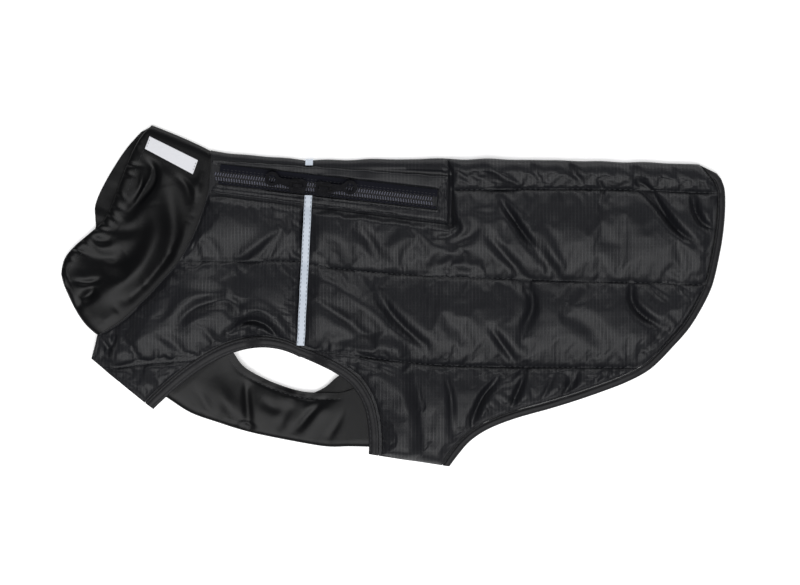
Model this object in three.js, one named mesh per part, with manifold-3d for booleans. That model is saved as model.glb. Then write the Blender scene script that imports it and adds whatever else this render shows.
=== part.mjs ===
// A small dog's padded winter coat, zipped along the back and laid on a table with its left side up.
// +X runs from the neck to the tail, +Y towards the back of the coat, +Z up from the table.
// Every panel that crosses the back is one wall: the upper layer, a turn round the back fold,
// and the lower layer, which rests flat on the table. All sizes are millimetres.
import * as THREE from "three";
import { mergeVertices } from "three/addons/utils/BufferGeometryUtils.js";
import Module from "manifold-3d";

const wasm = await Module();
wasm.setup();

// Layers and padding
const LOWER_WALL = 3.0; // padded wall that the coat lies on
const LAYER_GAP = 0.4; // between cloth layers that lie on each other
const SEAM_GAP = 0.4; // between two pieces that are sewn edge to edge
const STITCHED = 2.6; // padding where a seam holds it down
const REAR_LOFT = 5.8; // rise of a quilted channel over its stitch lines, rear panel
const YOKE_LOFT = 4.2; // the same on the yoke
const SEAM_FLAT = 3.2; // padding is held flat this far from the seam at a channel's end
const EDGE_FADE = 13; // and rises to the channel's full loft over this length
const QUILT_REACH = 24; // a channel reaches its full loft this far from its stitch lines
const UPPER_INNER = LOWER_WALL + LAYER_GAP;
const BINDING_WIDTH = 6.8;
const CHEST_WALL = 2.2;
const COLLAR_WALL = 3.4;
const ZIP_BED = UPPER_INNER + 3.4; // flat height of the padding under the zip
const BED_GAP = 0.3; // between that padding and the placket, and the zip's flat pieces
const BED_MARGIN = 6; // the padding stays flat this far past the bed
const BED_SLOPE = 9; // and comes up over this length
const CLEARANCE = 0.35; // between the zip's pieces, and under the trims that lie on the cloth

// Mesh steps
const ROW_STEPS = 2;
const END_STOPS = [0, 3.2, 7.4, 14.0]; // columns this far from both ends of a row
const END_MIDDLE = 8; // and at least this much of the row between them
const FOLD_ANGLES = [60, 30, 0, -30, -60].map(THREE.MathUtils.degToRad);
const CHEST_SHARES = [0, 0.2, 0.4, 0.62, 0.85]; // across the chest panel's flat, from edge to turn
const CHEST_STEPS = 2;
const COLLAR_RINGS = 10;
const BINDING_SHARES = [0.4, 0.8]; // inner points of a binding's section

// The neckline seam, from the back fold to the throat.
const NECKLINE = [
  { x: -123.8, y: 98.6 },
  { x: -123.4, y: 93.0 },
  { x: -124.0, y: 82.0 },
  { x: -125.5, y: 69.2 },
  { x: -129.6, y: 56.2 },
  { x: -135.3, y: 41.5 },
  { x: -144.2, y: 24.8 },
  { x: -153.3, y: 14.0 },
  { x: -168.0, y: -1.8 },
  { x: -182.6, y: -15.6 },
  { x: -191.8, y: -21.8 },
  { x: -200.6, y: -26.5 },
];

// Rows of the yoke from the back fold down to the leg hole. Each runs from its front end, on the
// neckline and then on the edge of the throat flap, to the seam with the rear panel. "bow" is how
// far its middle stands up from the straight line, and "bend" marks an end that is a corner.
const YOKE_ROWS = [
  { front: NECKLINE[0], back: { x: -57.0, y: 92.2 }, bow: 0 },
  { front: NECKLINE[1], back: { x: -57.1, y: 87.0 }, bow: 0 },
  { front: NECKLINE[2], back: { x: -58.0, y: 72.3 }, bow: 0 },
  { front: NECKLINE[3], back: { x: -58.8, y: 60.0 }, bow: 0 },
  { front: NECKLINE[4], back: { x: -59.5, y: 48.0 }, bow: 0 },
  { front: NECKLINE[5], back: { x: -60.1, y: 36.0 }, bow: 0 },
  { front: NECKLINE[6], back: { x: -60.9, y: 23.8 }, bow: 0 },
  { front: NECKLINE[7], back: { x: -61.3, y: 15.5 }, bow: 0.5 },
  { front: NECKLINE[8], back: { x: -61.7, y: 6.0 }, bow: 2.0 },
  { front: NECKLINE[9], back: { x: -62.1, y: -2.0 }, bow: 5.0 },
  { front: NECKLINE[10], back: { x: -62.3, y: -7.0 }, bow: 7.5 },
  { front: NECKLINE[11], back: { x: -62.5, y: -11.0 }, bow: 10.0, bend: "front" },
  { front: { x: -202.2, y: -33.6 }, back: { x: -62.6, y: -15.0 }, bow: 12.0 },
  { front: { x: -204.6, y: -42.4 }, back: { x: -62.7, y: -19.5 }, bow: 14.5, bend: "front" },
  { front: { x: -197.1, y: -48.6 }, back: { x: -62.8, y: -23.0 }, bow: 16.2 },
  { front: { x: -186.6, y: -57.0 }, back: { x: -62.9, y: -26.6 }, bow: 18.0 },
  { front: { x: -178.1, y: -63.9 }, back: { x: -63.0, y: -29.4 }, bow: 19.2 },
  { front: { x: -172.1, y: -68.8 }, back: { x: -63.0, y: -32.0 }, bow: 20.0 },
  { front: { x: -168.0, y: -72.1 }, back: { x: -63.0, y: -34.4 }, bow: 20.3 },
];
// The outer edge of the binding below the yoke, from the tip of the flap to the seam.
const YOKE_RIM = { front: { x: -162.2, y: -76.5 }, back: { x: -62.8, y: -41.8 }, bow: 19.0 };
const ARCH_LEAN = 0.35; // the leg hole's arch is higher towards the seam than towards the throat
const HOLE_SHIFT = 3; // the lower layer's leg hole is this much wider, out of sight

// Rows of the rear panel from the back fold down to the belly edge. The front end runs down the
// seam with the yoke and then, where "hole" is set, round the leg hole. The back end is the hem.
const REAR_ROWS = [
  { front: { x: -56.6, y: 92.2 }, back: { x: 208.0, y: 89.0 }, bow: 2.2 },
  { front: { x: -56.7, y: 87.0 }, back: { x: 219.6, y: 83.2 }, bow: 1.4 },
  { front: { x: -57.2, y: 79.5 }, back: { x: 224.0, y: 76.0 }, bow: 0.5 },
  { front: { x: -57.6, y: 71.0 }, back: { x: 225.4, y: 68.5 }, bow: 2.5 },
  { front: { x: -58.4, y: 59.0 }, back: { x: 225.2, y: 55.0 }, bow: -1 },
  { front: { x: -59.1, y: 47.0 }, back: { x: 223.7, y: 40.0 }, bow: -2 },
  { front: { x: -59.7, y: 35.0 }, back: { x: 221.0, y: 25.0 }, bow: -3 },
  { front: { x: -60.5, y: 22.4 }, back: { x: 216.8, y: 7.6 }, bow: -4 },
  { front: { x: -61.0, y: 8.0 }, back: { x: 210.3, y: -6.6 }, bow: -4 },
  { front: { x: -61.6, y: -8.0 }, back: { x: 201.0, y: -21.8 }, bow: -4 },
  { front: { x: -62.2, y: -24.0 }, back: { x: 189.8, y: -34.6 }, bow: -5 },
  { front: { x: -62.4, y: -41.4 }, back: { x: 175.4, y: -49.0 }, bow: -6, bend: "front", hole: true },
  { front: { x: -48.0, y: -47.6 }, back: { x: 160.4, y: -57.6 }, bow: -4, hole: true },
  { front: { x: -37.4, y: -53.2 }, back: { x: 144.4, y: -64.0 }, bow: -2, hole: true },
  { front: { x: -27.3, y: -61.3 }, back: { x: 124.3, y: -71.0 }, bow: 0, hole: true },
  { front: { x: -20.3, y: -72.8 }, back: { x: 104.0, y: -77.2 }, bow: 0, hole: true },
  { front: { x: -17.4, y: -84.0 }, back: { x: 84.0, y: -82.8 }, bow: 0, hole: true },
  { front: { x: -16.4, y: -93.0 }, back: { x: 64.5, y: -90.4 }, bow: 0, hole: true },
  { front: { x: -16.2, y: -100.0 }, back: { x: 50.5, y: -100.2 }, bow: 0, hole: true },
  { front: { x: -16.5, y: -107.0 }, back: { x: 38.2, y: -115.6 }, bow: 0, hole: true },
];

const SEAM_END_ROW = REAR_ROWS.findIndex((row) => row.hole);

// Stitch lines that hold the padding down, as [x, y] points.
const STITCH_LINES = [
  [[-57, 71.0], [44, 72.0], [88, 72.6], [152, 72.4], [226, 69.5]],
  [[-145, 23.8], [-61, 23.8]],
  [[-60, 22.4], [-37, 18.6], [5, 14.8], [94, 11.2], [152, 9.6], [218, 7.6]],
  [[-204, -49.5], [-187, -48.6], [-165, -45.6], [-137, -43.5], [-110, -37.5]],
  [[-62, -35.6], [-46, -37.7], [5, -44.2], [31, -46.6], [71, -47.8], [176, -48.6]],
];

// Rows of the collar tube from the nape fold to the throat fold: where the mouth of the upper
// layer and the mouth of the lower layer lie. The other end of row i is on the neckline, and its
// middle stands out by "swell" towards the throat.
const COLLAR_ROWS = [
  { upper: { x: -163.6, y: 116.0 }, lower: { x: -163.6, y: 116.0 }, swell: -0.6 },
  { upper: { x: -169.0, y: 110.6 }, lower: { x: -171.0, y: 111.4 }, swell: 0 },
  { upper: { x: -175.0, y: 101.5 }, lower: { x: -181.0, y: 100.2 }, swell: 0 },
  { upper: { x: -180.6, y: 89.0 }, lower: { x: -189.6, y: 87.4 }, swell: 0 },
  { upper: { x: -185.8, y: 75.5 }, lower: { x: -197.0, y: 74.4 }, swell: 0 },
  { upper: { x: -190.6, y: 62.5 }, lower: { x: -202.2, y: 62.0 }, swell: 0 },
  { upper: { x: -196.8, y: 50.8 }, lower: { x: -202.2, y: 53.0 }, swell: 0 },
  { upper: { x: -206.0, y: 42.4 }, lower: { x: -202.6, y: 45.0 }, swell: 0 },
  { upper: { x: -215.6, y: 34.2 }, lower: { x: -211.6, y: 36.0 }, swell: 0.4 },
  { upper: { x: -222.6, y: 25.6 }, lower: { x: -218.6, y: 27.4 }, swell: 1.0 },
  { upper: { x: -225.0, y: 14.6 }, lower: { x: -221.4, y: 16.0 }, swell: 1.8 },
  { upper: { x: -223.4, y: 7.4 }, lower: { x: -223.4, y: 7.4 }, swell: 3.0 },
];

// Sections of the folded chest panel from the throat to the belly: its bottom fold, the free
// edges of its upper and lower halves, as [x, y], and how high the section lies off the table.
const CHEST_SECTIONS = [
  { fold: [-174.0, -53.0], upper: [-125.0, -18.0], lower: [-127.4, -20.6], lift: 3.4 },
  { fold: [-165.4, -60.2], upper: [-119.0, -24.0], lower: [-121.6, -27.0], lift: 3.4 },
  { fold: [-151.6, -70.0], upper: [-109.4, -36.4], lower: [-112.8, -40.4], lift: 3.4 },
  { fold: [-137.0, -79.3], upper: [-101.8, -47.2], lower: [-104.8, -51.4], lift: 1.8 },
  { fold: [-119.0, -85.8], upper: [-90.4, -54.4], lower: [-93.4, -58.8], lift: 0.0 },
  { fold: [-97.8, -92.3], upper: [-77.4, -60.1], lower: [-79.6, -64.4], lift: 0.0 },
  { fold: [-70.0, -98.1], upper: [-61.6, -64.7], lower: [-62.2, -67.4], lift: 0.0 },
  { fold: [-45.6, -102.1], upper: [-46.0, -65.6], lower: [-47.6, -62.8], lift: 1.4 },
  { fold: [-29.2, -102.0], upper: [-33.0, -65.0], lower: [-37.0, -54.2], lift: 3.4 },
  { fold: [-15.0, -102.3], upper: [-20.0, -60.0], lower: [-24.0, -49.0], lift: 3.4 },
  { fold: [-2.0, -102.8], upper: [-6.0, -54.0], lower: [-8.0, -47.0], lift: 3.4 },
];
const CHEST_TOP = 2 * CHEST_WALL + LAYER_GAP; // both halves, over what the panel lies on
const CHEST_BROW = 0.88; // share of the way to the fold where its turn begins
// Where the ends of the chest panel lie between the two layers of the coat.
const TUCKED_ENDS = [
  [[-178, -50], [-129, -12], [-110, -37], [-152, -70]],
  [[-29, -102], [-37, -54], [-8, -47], [-2, -103]],
];
const TUCK_LIFT = CHEST_TOP + 0.6;
const TUCK_FLAT = 11; // the upper layer stays lifted this far past a tucked end
const TUCK_SLOPE = 13; // and comes down over this length

// The largest folds: a ridge (height above 0) or a trough, from one point to another.
const BODY_FOLDS = [
  { from: [75, 60], to: [104, 26], width: 7, height: -2.6 },
  { from: [88, 62], to: [120, 24], width: 8, height: 1.5 },
  { from: [170, 68], to: [198, 36], width: 7, height: -2.8 },
  { from: [98, -2], to: [84, -26], width: 8, height: -2.2 },
  { from: [66, -6], to: [30, -34], width: 10, height: 1.6 },
  { from: [-46, 12], to: [8, -36], width: 11, height: 2.4 },
  { from: [-40, -8], to: [-4, -40], width: 8, height: -2.2 },
  { from: [40, -54], to: [22, -98], width: 9, height: -1.8 },
  { from: [80, -52], to: [56, -80], width: 7, height: -2.2 },
  { from: [122, -51], to: [98, -68], width: 6, height: -1.8 },
  { from: [-146, -16], to: [-112, -4], width: 8, height: -2.0 },
  { from: [-120, -27], to: [-84, -22], width: 8, height: 2.4 },
  { from: [-160, -30], to: [-126, -14], width: 9, height: 2.0 },
];
const COLLAR_FOLDS = [
  { from: [-159, 46], to: [-163, 20], width: 9, height: 3.6 },
  { from: [-163, 20], to: [-196, -3], width: 9, height: 3.6 },
  { from: [-164, 88], to: [-166, 70], width: 6, height: -1.8 },
  { from: [-166, 70], to: [-182, 54], width: 6, height: -1.8 },
  { from: [-157, 84], to: [-153, 56], width: 8, height: 2.4 },
  { from: [-212, 22], to: [-190, 30], width: 14, height: 3.4 },
];
const CHEST_FOLDS = [
  { from: [-94, -62], to: [-88, -88], width: 6, height: -1.2 },
  { from: [-48, -74], to: [-66, -92], width: 6, height: -1.2 },
  { from: [-28, -74], to: [-40, -96], width: 6, height: -1.2 },
  { from: [-112, -58], to: [-104, -78], width: 9, height: 1.4 },
];
const FOLD_FALL = 1.5; // how fast a fold falls off past its width
const MOUTH_GATHERS = 13; // puckers along the upper mouth of the collar
const GATHER_DEPTH = 0.9;
const GATHER_REACH = 0.22; // share of the collar's length that they fade over

// Zip, placket and trims
const ZIP_START = new THREE.Vector2(-121.6, 81.4); // centre of the teeth at the neckline
const ZIP_END = new THREE.Vector2(28.3, 64.0);
// Where the zip shows, from the teeth's centre line and from the zip's two ends.
const WINDOW = { above: 8.4, below: 4.9, start: 3.8, past: 1.2 };
const PLACKET = [[-122.6, 92.2], [37.4, 81.6], [37.4, 49.6], [-123.8, 69.9]];
const FLAT_BED = [[-122.6, 92.2], [50, 80.9], [50, 48.1], [-123.8, 69.9]];
const PLACKET_WALL = 1.0;
const TAPE_WALL = 0.6;
// The teeth: the strip's section, and where it starts and ends past the zip's two ends.
const CHAIN = { width: 6.0, height: 1.7, edge: 1.1, shoulder: 0.7, groove: 0.5, dip: 1.3 };
const CHAIN_ENDS = { start: 4.0, past: 0.4 };
const SLIDER = { length: 11.5, width: 9.4, roof: 1.1, side: 1.2, tail: 0.8 };
const BAIL = { span: 7.4, width: 2.0, wall: 1.2, rise: 3.8, corner: 1.3, root: 0.3 };
const PULL = { length: 22.5, wall: 1.3, neck: 5.8, waist: 4.4, ring: 9.8, hole: 5.6, slot: 5.4, bar: 1.3 };
const PULL_DROOP = THREE.MathUtils.degToRad(2.5); // the ring end hangs below the hinge
const SLIDERS = [
  { side: "left", x: -64.4, facing: 0, askew: THREE.MathUtils.degToRad(-8) },
  { side: "right", x: -47.0, facing: Math.PI, askew: THREE.MathUtils.degToRad(9) },
];
const STRIPE = { width: 5.1, wall: 0.5, top: [-57.3, 68.2], bottom: [-62.6, -33.6] };
const FAR_STRIPE = { tuck: 1.6, short: 12 }; // how far it runs on under the placket, and ends short
const SEAM_RECESS = 1.1; // the lower layer is drawn in this far along the seam that its stripe covers
const RECESS = { half: 3.4, slope: 3.6 }; // and this wide
const LABEL = {
  wall: 0.6,
  margin: 4,
  slope: 8,
  corners: [[-165.0, 108.4], [-132.1, 92.1], [-135.6, 82.4], [-168.3, 99.8]],
};

// Shared functions

const lerp = (a, b, t) => a + (b - a) * t;
const lerpPoint = (a, b, t) => ({ x: lerp(a.x, b.x, t), y: lerp(a.y, b.y, t) });
const smooth = (t) => THREE.MathUtils.smoothstep(t, 0, 1);
const distance = (a, b) => Math.hypot(a.x - b.x, a.y - b.y);
const point = ([x, y]) => ({ x, y });

function segmentDistance(p, a, b) {
  const length2 = (b.x - a.x) ** 2 + (b.y - a.y) ** 2;
  const along = ((p.x - a.x) * (b.x - a.x) + (p.y - a.y) * (b.y - a.y)) / length2;
  return distance(p, lerpPoint(a, b, THREE.MathUtils.clamp(along, 0, 1)));
}

function edgeDistance(p, line) {
  let nearest = Infinity;
  for (let i = 1; i < line.length; i++) {
    nearest = Math.min(nearest, segmentDistance(p, line[i - 1], line[i]));
  }
  return nearest;
}

// How far a point lies outside a convex outline of [x, y] corners. Inside it is 0.
function outside(p, outline) {
  const corners = outline.map(point);
  const turn = Math.sign(THREE.ShapeUtils.area(corners));
  const within = corners.every((a, i) => {
    const b = corners[(i + 1) % corners.length];
    return turn * ((b.x - a.x) * (p.y - a.y) - (b.y - a.y) * (p.x - a.x)) >= 0;
  });
  return within ? 0 : edgeDistance(p, [...corners, corners[0]]);
}

// Height that a table of folds adds at a point: a soft ridge or trough that fades at its ends.
function foldHeight(p, folds) {
  let height = 0;
  for (const fold of folds) {
    const away = segmentDistance(p, point(fold.from), point(fold.to));
    height += fold.height * Math.exp(-FOLD_FALL * (away / fold.width) ** 2);
  }
  return height;
}

// The height that the upper layer lies at: on the lower one, or on a tucked end of the chest panel.
function layHeight(p) {
  const cover = TUCKED_ENDS.map((end) => smooth(1 - (outside(p, end) - TUCK_FLAT) / TUCK_SLOPE));
  return UPPER_INNER + TUCK_LIFT * Math.max(...cover);
}

// Share of a channel's loft at a point: none on a stitch line, full in the middle.
function channelLoft(p) {
  const away = Math.min(...STITCH_LINES.map((line) => edgeDistance(p, line.map(point))));
  return arch(away / QUILT_REACH);
}

function endLoft(away) {
  return arch((away - SEAM_FLAT) / EDGE_FADE);
}

// A quarter circle's rise from 0 to 1.
function arch(t) {
  return Math.sqrt(1 - (1 - THREE.MathUtils.clamp(t, 0, 1)) ** 2);
}

// A closed wall between two grids of points with the same rows and columns. In a ring the last
// row joins the first.
function wallGeometry(outer, inner, ring = false) {
  const rows = outer.length;
  const columns = outer[0].length;
  const positions = [...outer.flat(), ...inner.flat()].flatMap((p) => [p.x, p.y, p.z]);
  const index = [];
  const at = (side, i, j) => (side * rows + (i % rows)) * columns + j;
  const quad = (a, b, c, d) => index.push(a, b, c, a, c, d);
  const lastRow = ring ? rows : rows - 1;
  for (let i = 0; i < lastRow; i++) {
    for (let j = 0; j < columns - 1; j++) {
      quad(at(0, i, j), at(0, i + 1, j), at(0, i + 1, j + 1), at(0, i, j + 1));
      quad(at(1, i, j), at(1, i, j + 1), at(1, i + 1, j + 1), at(1, i + 1, j));
    }
    const end = columns - 1;
    quad(at(0, i, 0), at(1, i, 0), at(1, i + 1, 0), at(0, i + 1, 0));
    quad(at(0, i, end), at(0, i + 1, end), at(1, i + 1, end), at(1, i, end));
  }
  for (let j = 0; j < columns - 1 && !ring; j++) {
    quad(at(0, 0, j), at(0, 0, j + 1), at(1, 0, j + 1), at(1, 0, j));
    quad(at(0, rows - 1, j), at(1, rows - 1, j), at(1, rows - 1, j + 1), at(0, rows - 1, j + 1));
  }
  const geometry = new THREE.BufferGeometry();
  geometry.setAttribute("position", new THREE.Float32BufferAttribute(positions, 3));
  geometry.setIndex(index);
  if (signedVolume(geometry) < 0) index.reverse();
  geometry.setIndex(index);
  geometry.computeVertexNormals();
  return geometry;
}

function signedVolume(geometry) {
  const points = geometry.getAttribute("position");
  const index = geometry.getIndex().array;
  const [a, b, c] = [new THREE.Vector3(), new THREE.Vector3(), new THREE.Vector3()];
  let volume = 0;
  for (let i = 0; i < index.length; i += 3) {
    a.fromBufferAttribute(points, index[i]);
    b.fromBufferAttribute(points, index[i + 1]);
    c.fromBufferAttribute(points, index[i + 2]);
    volume += a.dot(b.cross(c)) / 6;
  }
  return volume;
}

function toSolid(geometry) {
  const bare = geometry.clone();
  for (const name of Object.keys(bare.attributes)) {
    if (name !== "position") bare.deleteAttribute(name);
  }
  const merged = mergeVertices(bare, 1e-3);
  const mesh = new wasm.Mesh({
    numProp: 3,
    vertProperties: merged.attributes.position.array,
    triVerts: new Uint32Array(merged.index.array),
  });
  return new wasm.Manifold(mesh);
}

function toGeometry(solid) {
  const mesh = solid.getMesh();
  const geometry = new THREE.BufferGeometry();
  geometry.setAttribute("position", new THREE.Float32BufferAttribute(mesh.vertProperties, 3));
  geometry.setIndex(new THREE.Uint32BufferAttribute(mesh.triVerts, 1));
  geometry.computeVertexNormals();
  return geometry;
}

function material(color, roughness, metalness = 0) {
  return new THREE.MeshStandardMaterial({ color, roughness, metalness });
}

const SHELL = material(0x33353a, 0.5);
const SATIN = material(0x2b2d31, 0.42);
const TRIM = material(0x38383c, 0.6);
const ZIP_CLOTH = material(0x24253a, 0.7);
const ZIP_PLASTIC = material(0x1b1b26, 0.35);
const REFLECTIVE = material(0xc9d2de, 0.4);
const WHITE_CLOTH = material(0xe8e8ec, 0.8);

function piece(name, geometry, surface) {
  const mesh = new THREE.Mesh(geometry, surface);
  mesh.name = name;
  return mesh;
}

// Rows between the table's rows, on a smooth curve through each end that keeps its corners.
function refineRows(table, steps) {
  const tangent = (side, i, towards) => {
    const before = table[i - 1]?.[side];
    const here = table[i][side];
    const after = table[i + 1]?.[side];
    if (!before || !after || table[i].bend === side) {
      const other = towards > 0 ? after : before;
      return { x: (other.x - here.x) * towards, y: (other.y - here.y) * towards };
    }
    return { x: (after.x - before.x) / 2, y: (after.y - before.y) / 2 };
  };
  const between = (side, i, t) => {
    const [p, q] = [table[i][side], table[i + 1][side]];
    const [m, n] = [tangent(side, i, 1), tangent(side, i + 1, -1)];
    const near = 2 * t ** 3 - 3 * t ** 2 + 1;
    const leaving = t ** 3 - 2 * t ** 2 + t;
    const arriving = t ** 3 - t ** 2;
    const hermite = (a, b, c, d) => near * a + leaving * c + (1 - near) * b + arriving * d;
    return { x: hermite(p.x, q.x, m.x, n.x), y: hermite(p.y, q.y, m.y, n.y) };
  };
  const rows = [table[0], table[1]];
  for (let i = 1; i < table.length - 1; i++) {
    for (let k = 1; k <= steps; k++) {
      const t = k / steps;
      rows.push({
        front: k < steps ? between("front", i, t) : table[i + 1].front,
        back: k < steps ? between("back", i, t) : table[i + 1].back,
        bow: lerp(table[i].bow, table[i + 1].bow, t),
        hole: k < steps ? table[i].hole : table[i + 1].hole,
      });
    }
  }
  return rows;
}

// Moves one end of the rows that are bound inwards, square to the edge that they form. The first
// row of an edge that starts at a seam moves up that seam.
function insetEnds(rows, side, width) {
  const other = side === "front" ? "back" : "front";
  const turn = side === "front" ? -1 : 1;
  const first = side === "front" ? rows.findIndex((row) => row.hole) : 0;
  return rows.map((row, i) => {
    const here = row[side];
    if (first < 0 || i < first || width === 0) return here;
    const before = rows[Math.max(first, i - 1)][side];
    const after = rows[Math.min(rows.length - 1, i + 1)][side];
    let normal = { x: turn * (after.y - before.y), y: turn * (before.x - after.x) };
    if (i === 0 || i === rows.length - 1) {
      normal = { x: row[other].x - here.x, y: row[other].y - here.y };
    } else if (i === first) {
      normal = { x: rows[i - 1][side].x - here.x, y: rows[i - 1][side].y - here.y };
    }
    const length = Math.hypot(normal.x, normal.y);
    return { x: here.x + (normal.x / length) * width, y: here.y + (normal.y / length) * width };
  });
}

// Shares of a row's length where its columns stand: at fixed distances from both ends, where the
// padding comes down, and evenly between them.
function columnShares(count, front, back) {
  const length = distance(front, back);
  const fit = Math.min(1, length / (2 * END_STOPS.at(-1) + END_MIDDLE));
  const near = END_STOPS.map((stop) => (stop * fit) / length);
  const between = count - 2 * (near.length - 1);
  const [first, last] = [near.at(-1), 1 - near.at(-1)];
  const middle = Array.from({ length: between - 1 }, (_, j) => lerp(first, last, (j + 1) / between));
  return [...near, ...middle, ...near.map((share) => 1 - share).reverse()];
}

// A point of a row: "bow" lifts its middle, more towards the back end where "lean" is above 0.
function rowPoint(front, back, bow, lean, t) {
  const p = lerpPoint(front, back, t);
  p.y += bow * 4 * t * (1 - t) * (1 + lean * (t - 0.5));
  return p;
}

// The lower layer's outer face: on the table, but drawn in along the seam of yoke and rear panel.
function lowerOuter(p) {
  const away = segmentDistance(p, REAR_ROWS[0].front, REAR_ROWS[SEAM_END_ROW].front);
  return SEAM_RECESS * smooth(1 - (away - RECESS.half) / RECESS.slope);
}

// A padded panel that lies in two layers joined round the back fold. Its rows run from the lower
// layer's free edge, round the fold, to the upper layer's free edge. "bound" is how far the
// bindings at the front and back ends of a layer reach in over its rows.
function foldedPanel(table, lowerTable, { loft, columns, lean = 0, bound = [0, 0], lowerBound = [0, 0] }) {
  const rows = refineRows(table, ROW_STEPS);
  const fronts = insetEnds(rows, "front", bound[0]);
  const backs = insetEnds(rows, "back", bound[1]);
  const lowerFronts = insetEnds(lowerTable, "front", lowerBound[0]);
  const lowerBacks = insetEnds(lowerTable, "back", lowerBound[1]);

  const across = (front, back, bow) =>
    columnShares(columns, front, back).map((t) => rowPoint(front, back, bow, lean, t));
  const edges = [fronts.slice(1), backs.slice(1), across(fronts.at(-1), backs.at(-1), rows.at(-1).bow)];
  const upperPoint = (p) => {
    const under = layHeight(p);
    const ends = endLoft(Math.min(...edges.map((edge) => edgeDistance(p, edge))));
    const rise = loft * channelLoft(p) + foldHeight(p, BODY_FOLDS);
    const padded = under + STITCHED + Math.max(0, rise) * ends;
    const flat = smooth(1 - (outside(p, FLAT_BED) - BED_MARGIN) / BED_SLOPE);
    const top = new THREE.Vector3(p.x, p.y, lerp(padded, ZIP_BED, flat));
    return { top, under: new THREE.Vector3(p.x, p.y, under) };
  };

  const outer = [];
  const inner = [];
  for (let i = lowerTable.length - 1; i >= 1; i--) {
    const points = across(lowerFronts[i], lowerBacks[i], lowerTable[i].bow);
    outer.push(points.map((p) => new THREE.Vector3(p.x, p.y, lowerOuter(p))));
    inner.push(points.map((p) => new THREE.Vector3(p.x, p.y, LOWER_WALL)));
  }
  const crest = across(fronts[0], backs[0], rows[0].bow);
  const brow = across(fronts[1], backs[1], rows[1].bow).map(upperPoint);
  const turnInner = ({ top }, j, angle) =>
    foldPoint(top, crest[j], LOWER_WALL, UPPER_INNER, foldShare(top, crest[j]), angle);
  for (const angle of [...FOLD_ANGLES].reverse()) {
    outer.push(brow.map(({ top }, j) => foldPoint(top, crest[j], lowerOuter(top), top.z, 1, angle)));
    inner.push(brow.map((made, j) => turnInner(made, j, angle)));
  }
  for (let i = 1; i < rows.length; i++) {
    const made = across(fronts[i], backs[i], rows[i].bow).map(upperPoint);
    outer.push(made.map(({ top }) => top));
    inner.push(made.map(({ under }) => under));
  }
  return { geometry: wallGeometry(outer, inner), outer, inner, rows, lowerRows: lowerTable };
}

// A point of the half turn from an upper row to the lower one, round the crest of a fold.
function foldPoint(top, crest, low, high, share, angle) {
  const reach = Math.cos(angle) * share;
  const z = lerp(low, high, 0.5 + 0.5 * Math.sin(angle));
  return new THREE.Vector3(lerp(top.x, crest.x, reach), lerp(top.y, crest.y, reach), z);
}

function foldShare(top, crest) {
  return Math.max(0.1, 1 - LOWER_WALL / distance(top, crest));
}

// A bound edge: a strip from just past the panel's edge to the outline, rounded at the outline.
function bindingGeometry(stations) {
  const bulge = 0.5;
  const upper = [];
  const lower = [];
  for (const { top, under, rim, flatBelow } of stations) {
    const span = distance(top, rim);
    const thick = top.z - under.z;
    const swell = flatBelow ? 0 : bulge;
    const at = (share, z) => new THREE.Vector3(lerp(top.x, rim.x, share), lerp(top.y, rim.y, share), z);
    const start = SEAM_GAP / span;
    const [near, far] = BINDING_SHARES;
    const rise = flatBelow ? 0.05 : 0.25;
    upper.push([
      at(start, top.z),
      at(near, top.z + swell),
      at(far, top.z + swell * 0.4),
      at(1, top.z - thick * 0.3),
    ]);
    lower.push([at(start, under.z), at(near, under.z), at(far, under.z), at(1, under.z + thick * rise)]);
  }
  return wallGeometry(upper, lower);
}

function shapeFrom(points) {
  return new THREE.Shape(points.map(([x, y]) => new THREE.Vector2(x, y)));
}

function extruded(shape, depth, steps = 6) {
  return new THREE.ExtrudeGeometry(shape, { depth, bevelEnabled: false, curveSegments: steps });
}

// Body panels

// The lower layer's last row and rim of the yoke stand back from the leg hole.
function movedBack({ front, back, bow }) {
  const flapEdge = { x: -0.78 * HOLE_SHIFT, y: 0.625 * HOLE_SHIFT };
  return {
    front: { x: front.x + flapEdge.x, y: front.y + flapEdge.y },
    back: { x: back.x, y: back.y + HOLE_SHIFT },
    bow,
  };
}

const yokeLowerRows = [...YOKE_ROWS.slice(0, -2), movedBack(YOKE_ROWS.at(-1))];
const yoke = foldedPanel(YOKE_ROWS, yokeLowerRows, { loft: YOKE_LOFT, columns: 14, lean: ARCH_LEAN });
const rear = foldedPanel(REAR_ROWS, REAR_ROWS, {
  loft: REAR_LOFT,
  columns: 22,
  bound: [BINDING_WIDTH, BINDING_WIDTH],
  lowerBound: [BINDING_WIDTH + HOLE_SHIFT, BINDING_WIDTH],
});

// Index of a panel's upper row and of the matching row of its lower layer, in its grids.
const upperIndex = (panel, i) => panel.outer.length - panel.rows.length + i;
const lowerIndex = (panel, i) => panel.lowerRows.length - 1 - i;

// Sections of a leg hole's binding, from the tip of the flap along the yoke and on along the rear.
function holeStations(upper) {
  const made = [];
  const add = (panel, grid, column, rim) => {
    const [a, b] = [panel.outer[grid][column], panel.inner[grid][column]];
    const [top, under] = upper ? [a, b] : [b, a];
    made.push({ top, under, rim, flatBelow: !upper });
  };
  const yokeRim = upper ? YOKE_RIM : movedBack(YOKE_RIM);
  const yokeGrid = upper ? yoke.outer.length - 1 : 0;
  const shares = columnShares(yoke.outer[0].length - 1, YOKE_ROWS.at(-1).front, YOKE_ROWS.at(-1).back);
  shares.slice(0, -1).forEach((t, j) =>
    add(yoke, yokeGrid, j, rowPoint(yokeRim.front, yokeRim.back, yokeRim.bow, ARCH_LEAN, t)));
  const rows = upper ? rear.rows : rear.lowerRows;
  const rims = insetEnds(rows, "front", upper ? 0 : HOLE_SHIFT);
  rows.forEach((row, i) => {
    if (row.hole) add(rear, upper ? upperIndex(rear, i) : lowerIndex(rear, i), 0, rims[i]);
  });
  return made;
}

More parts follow.
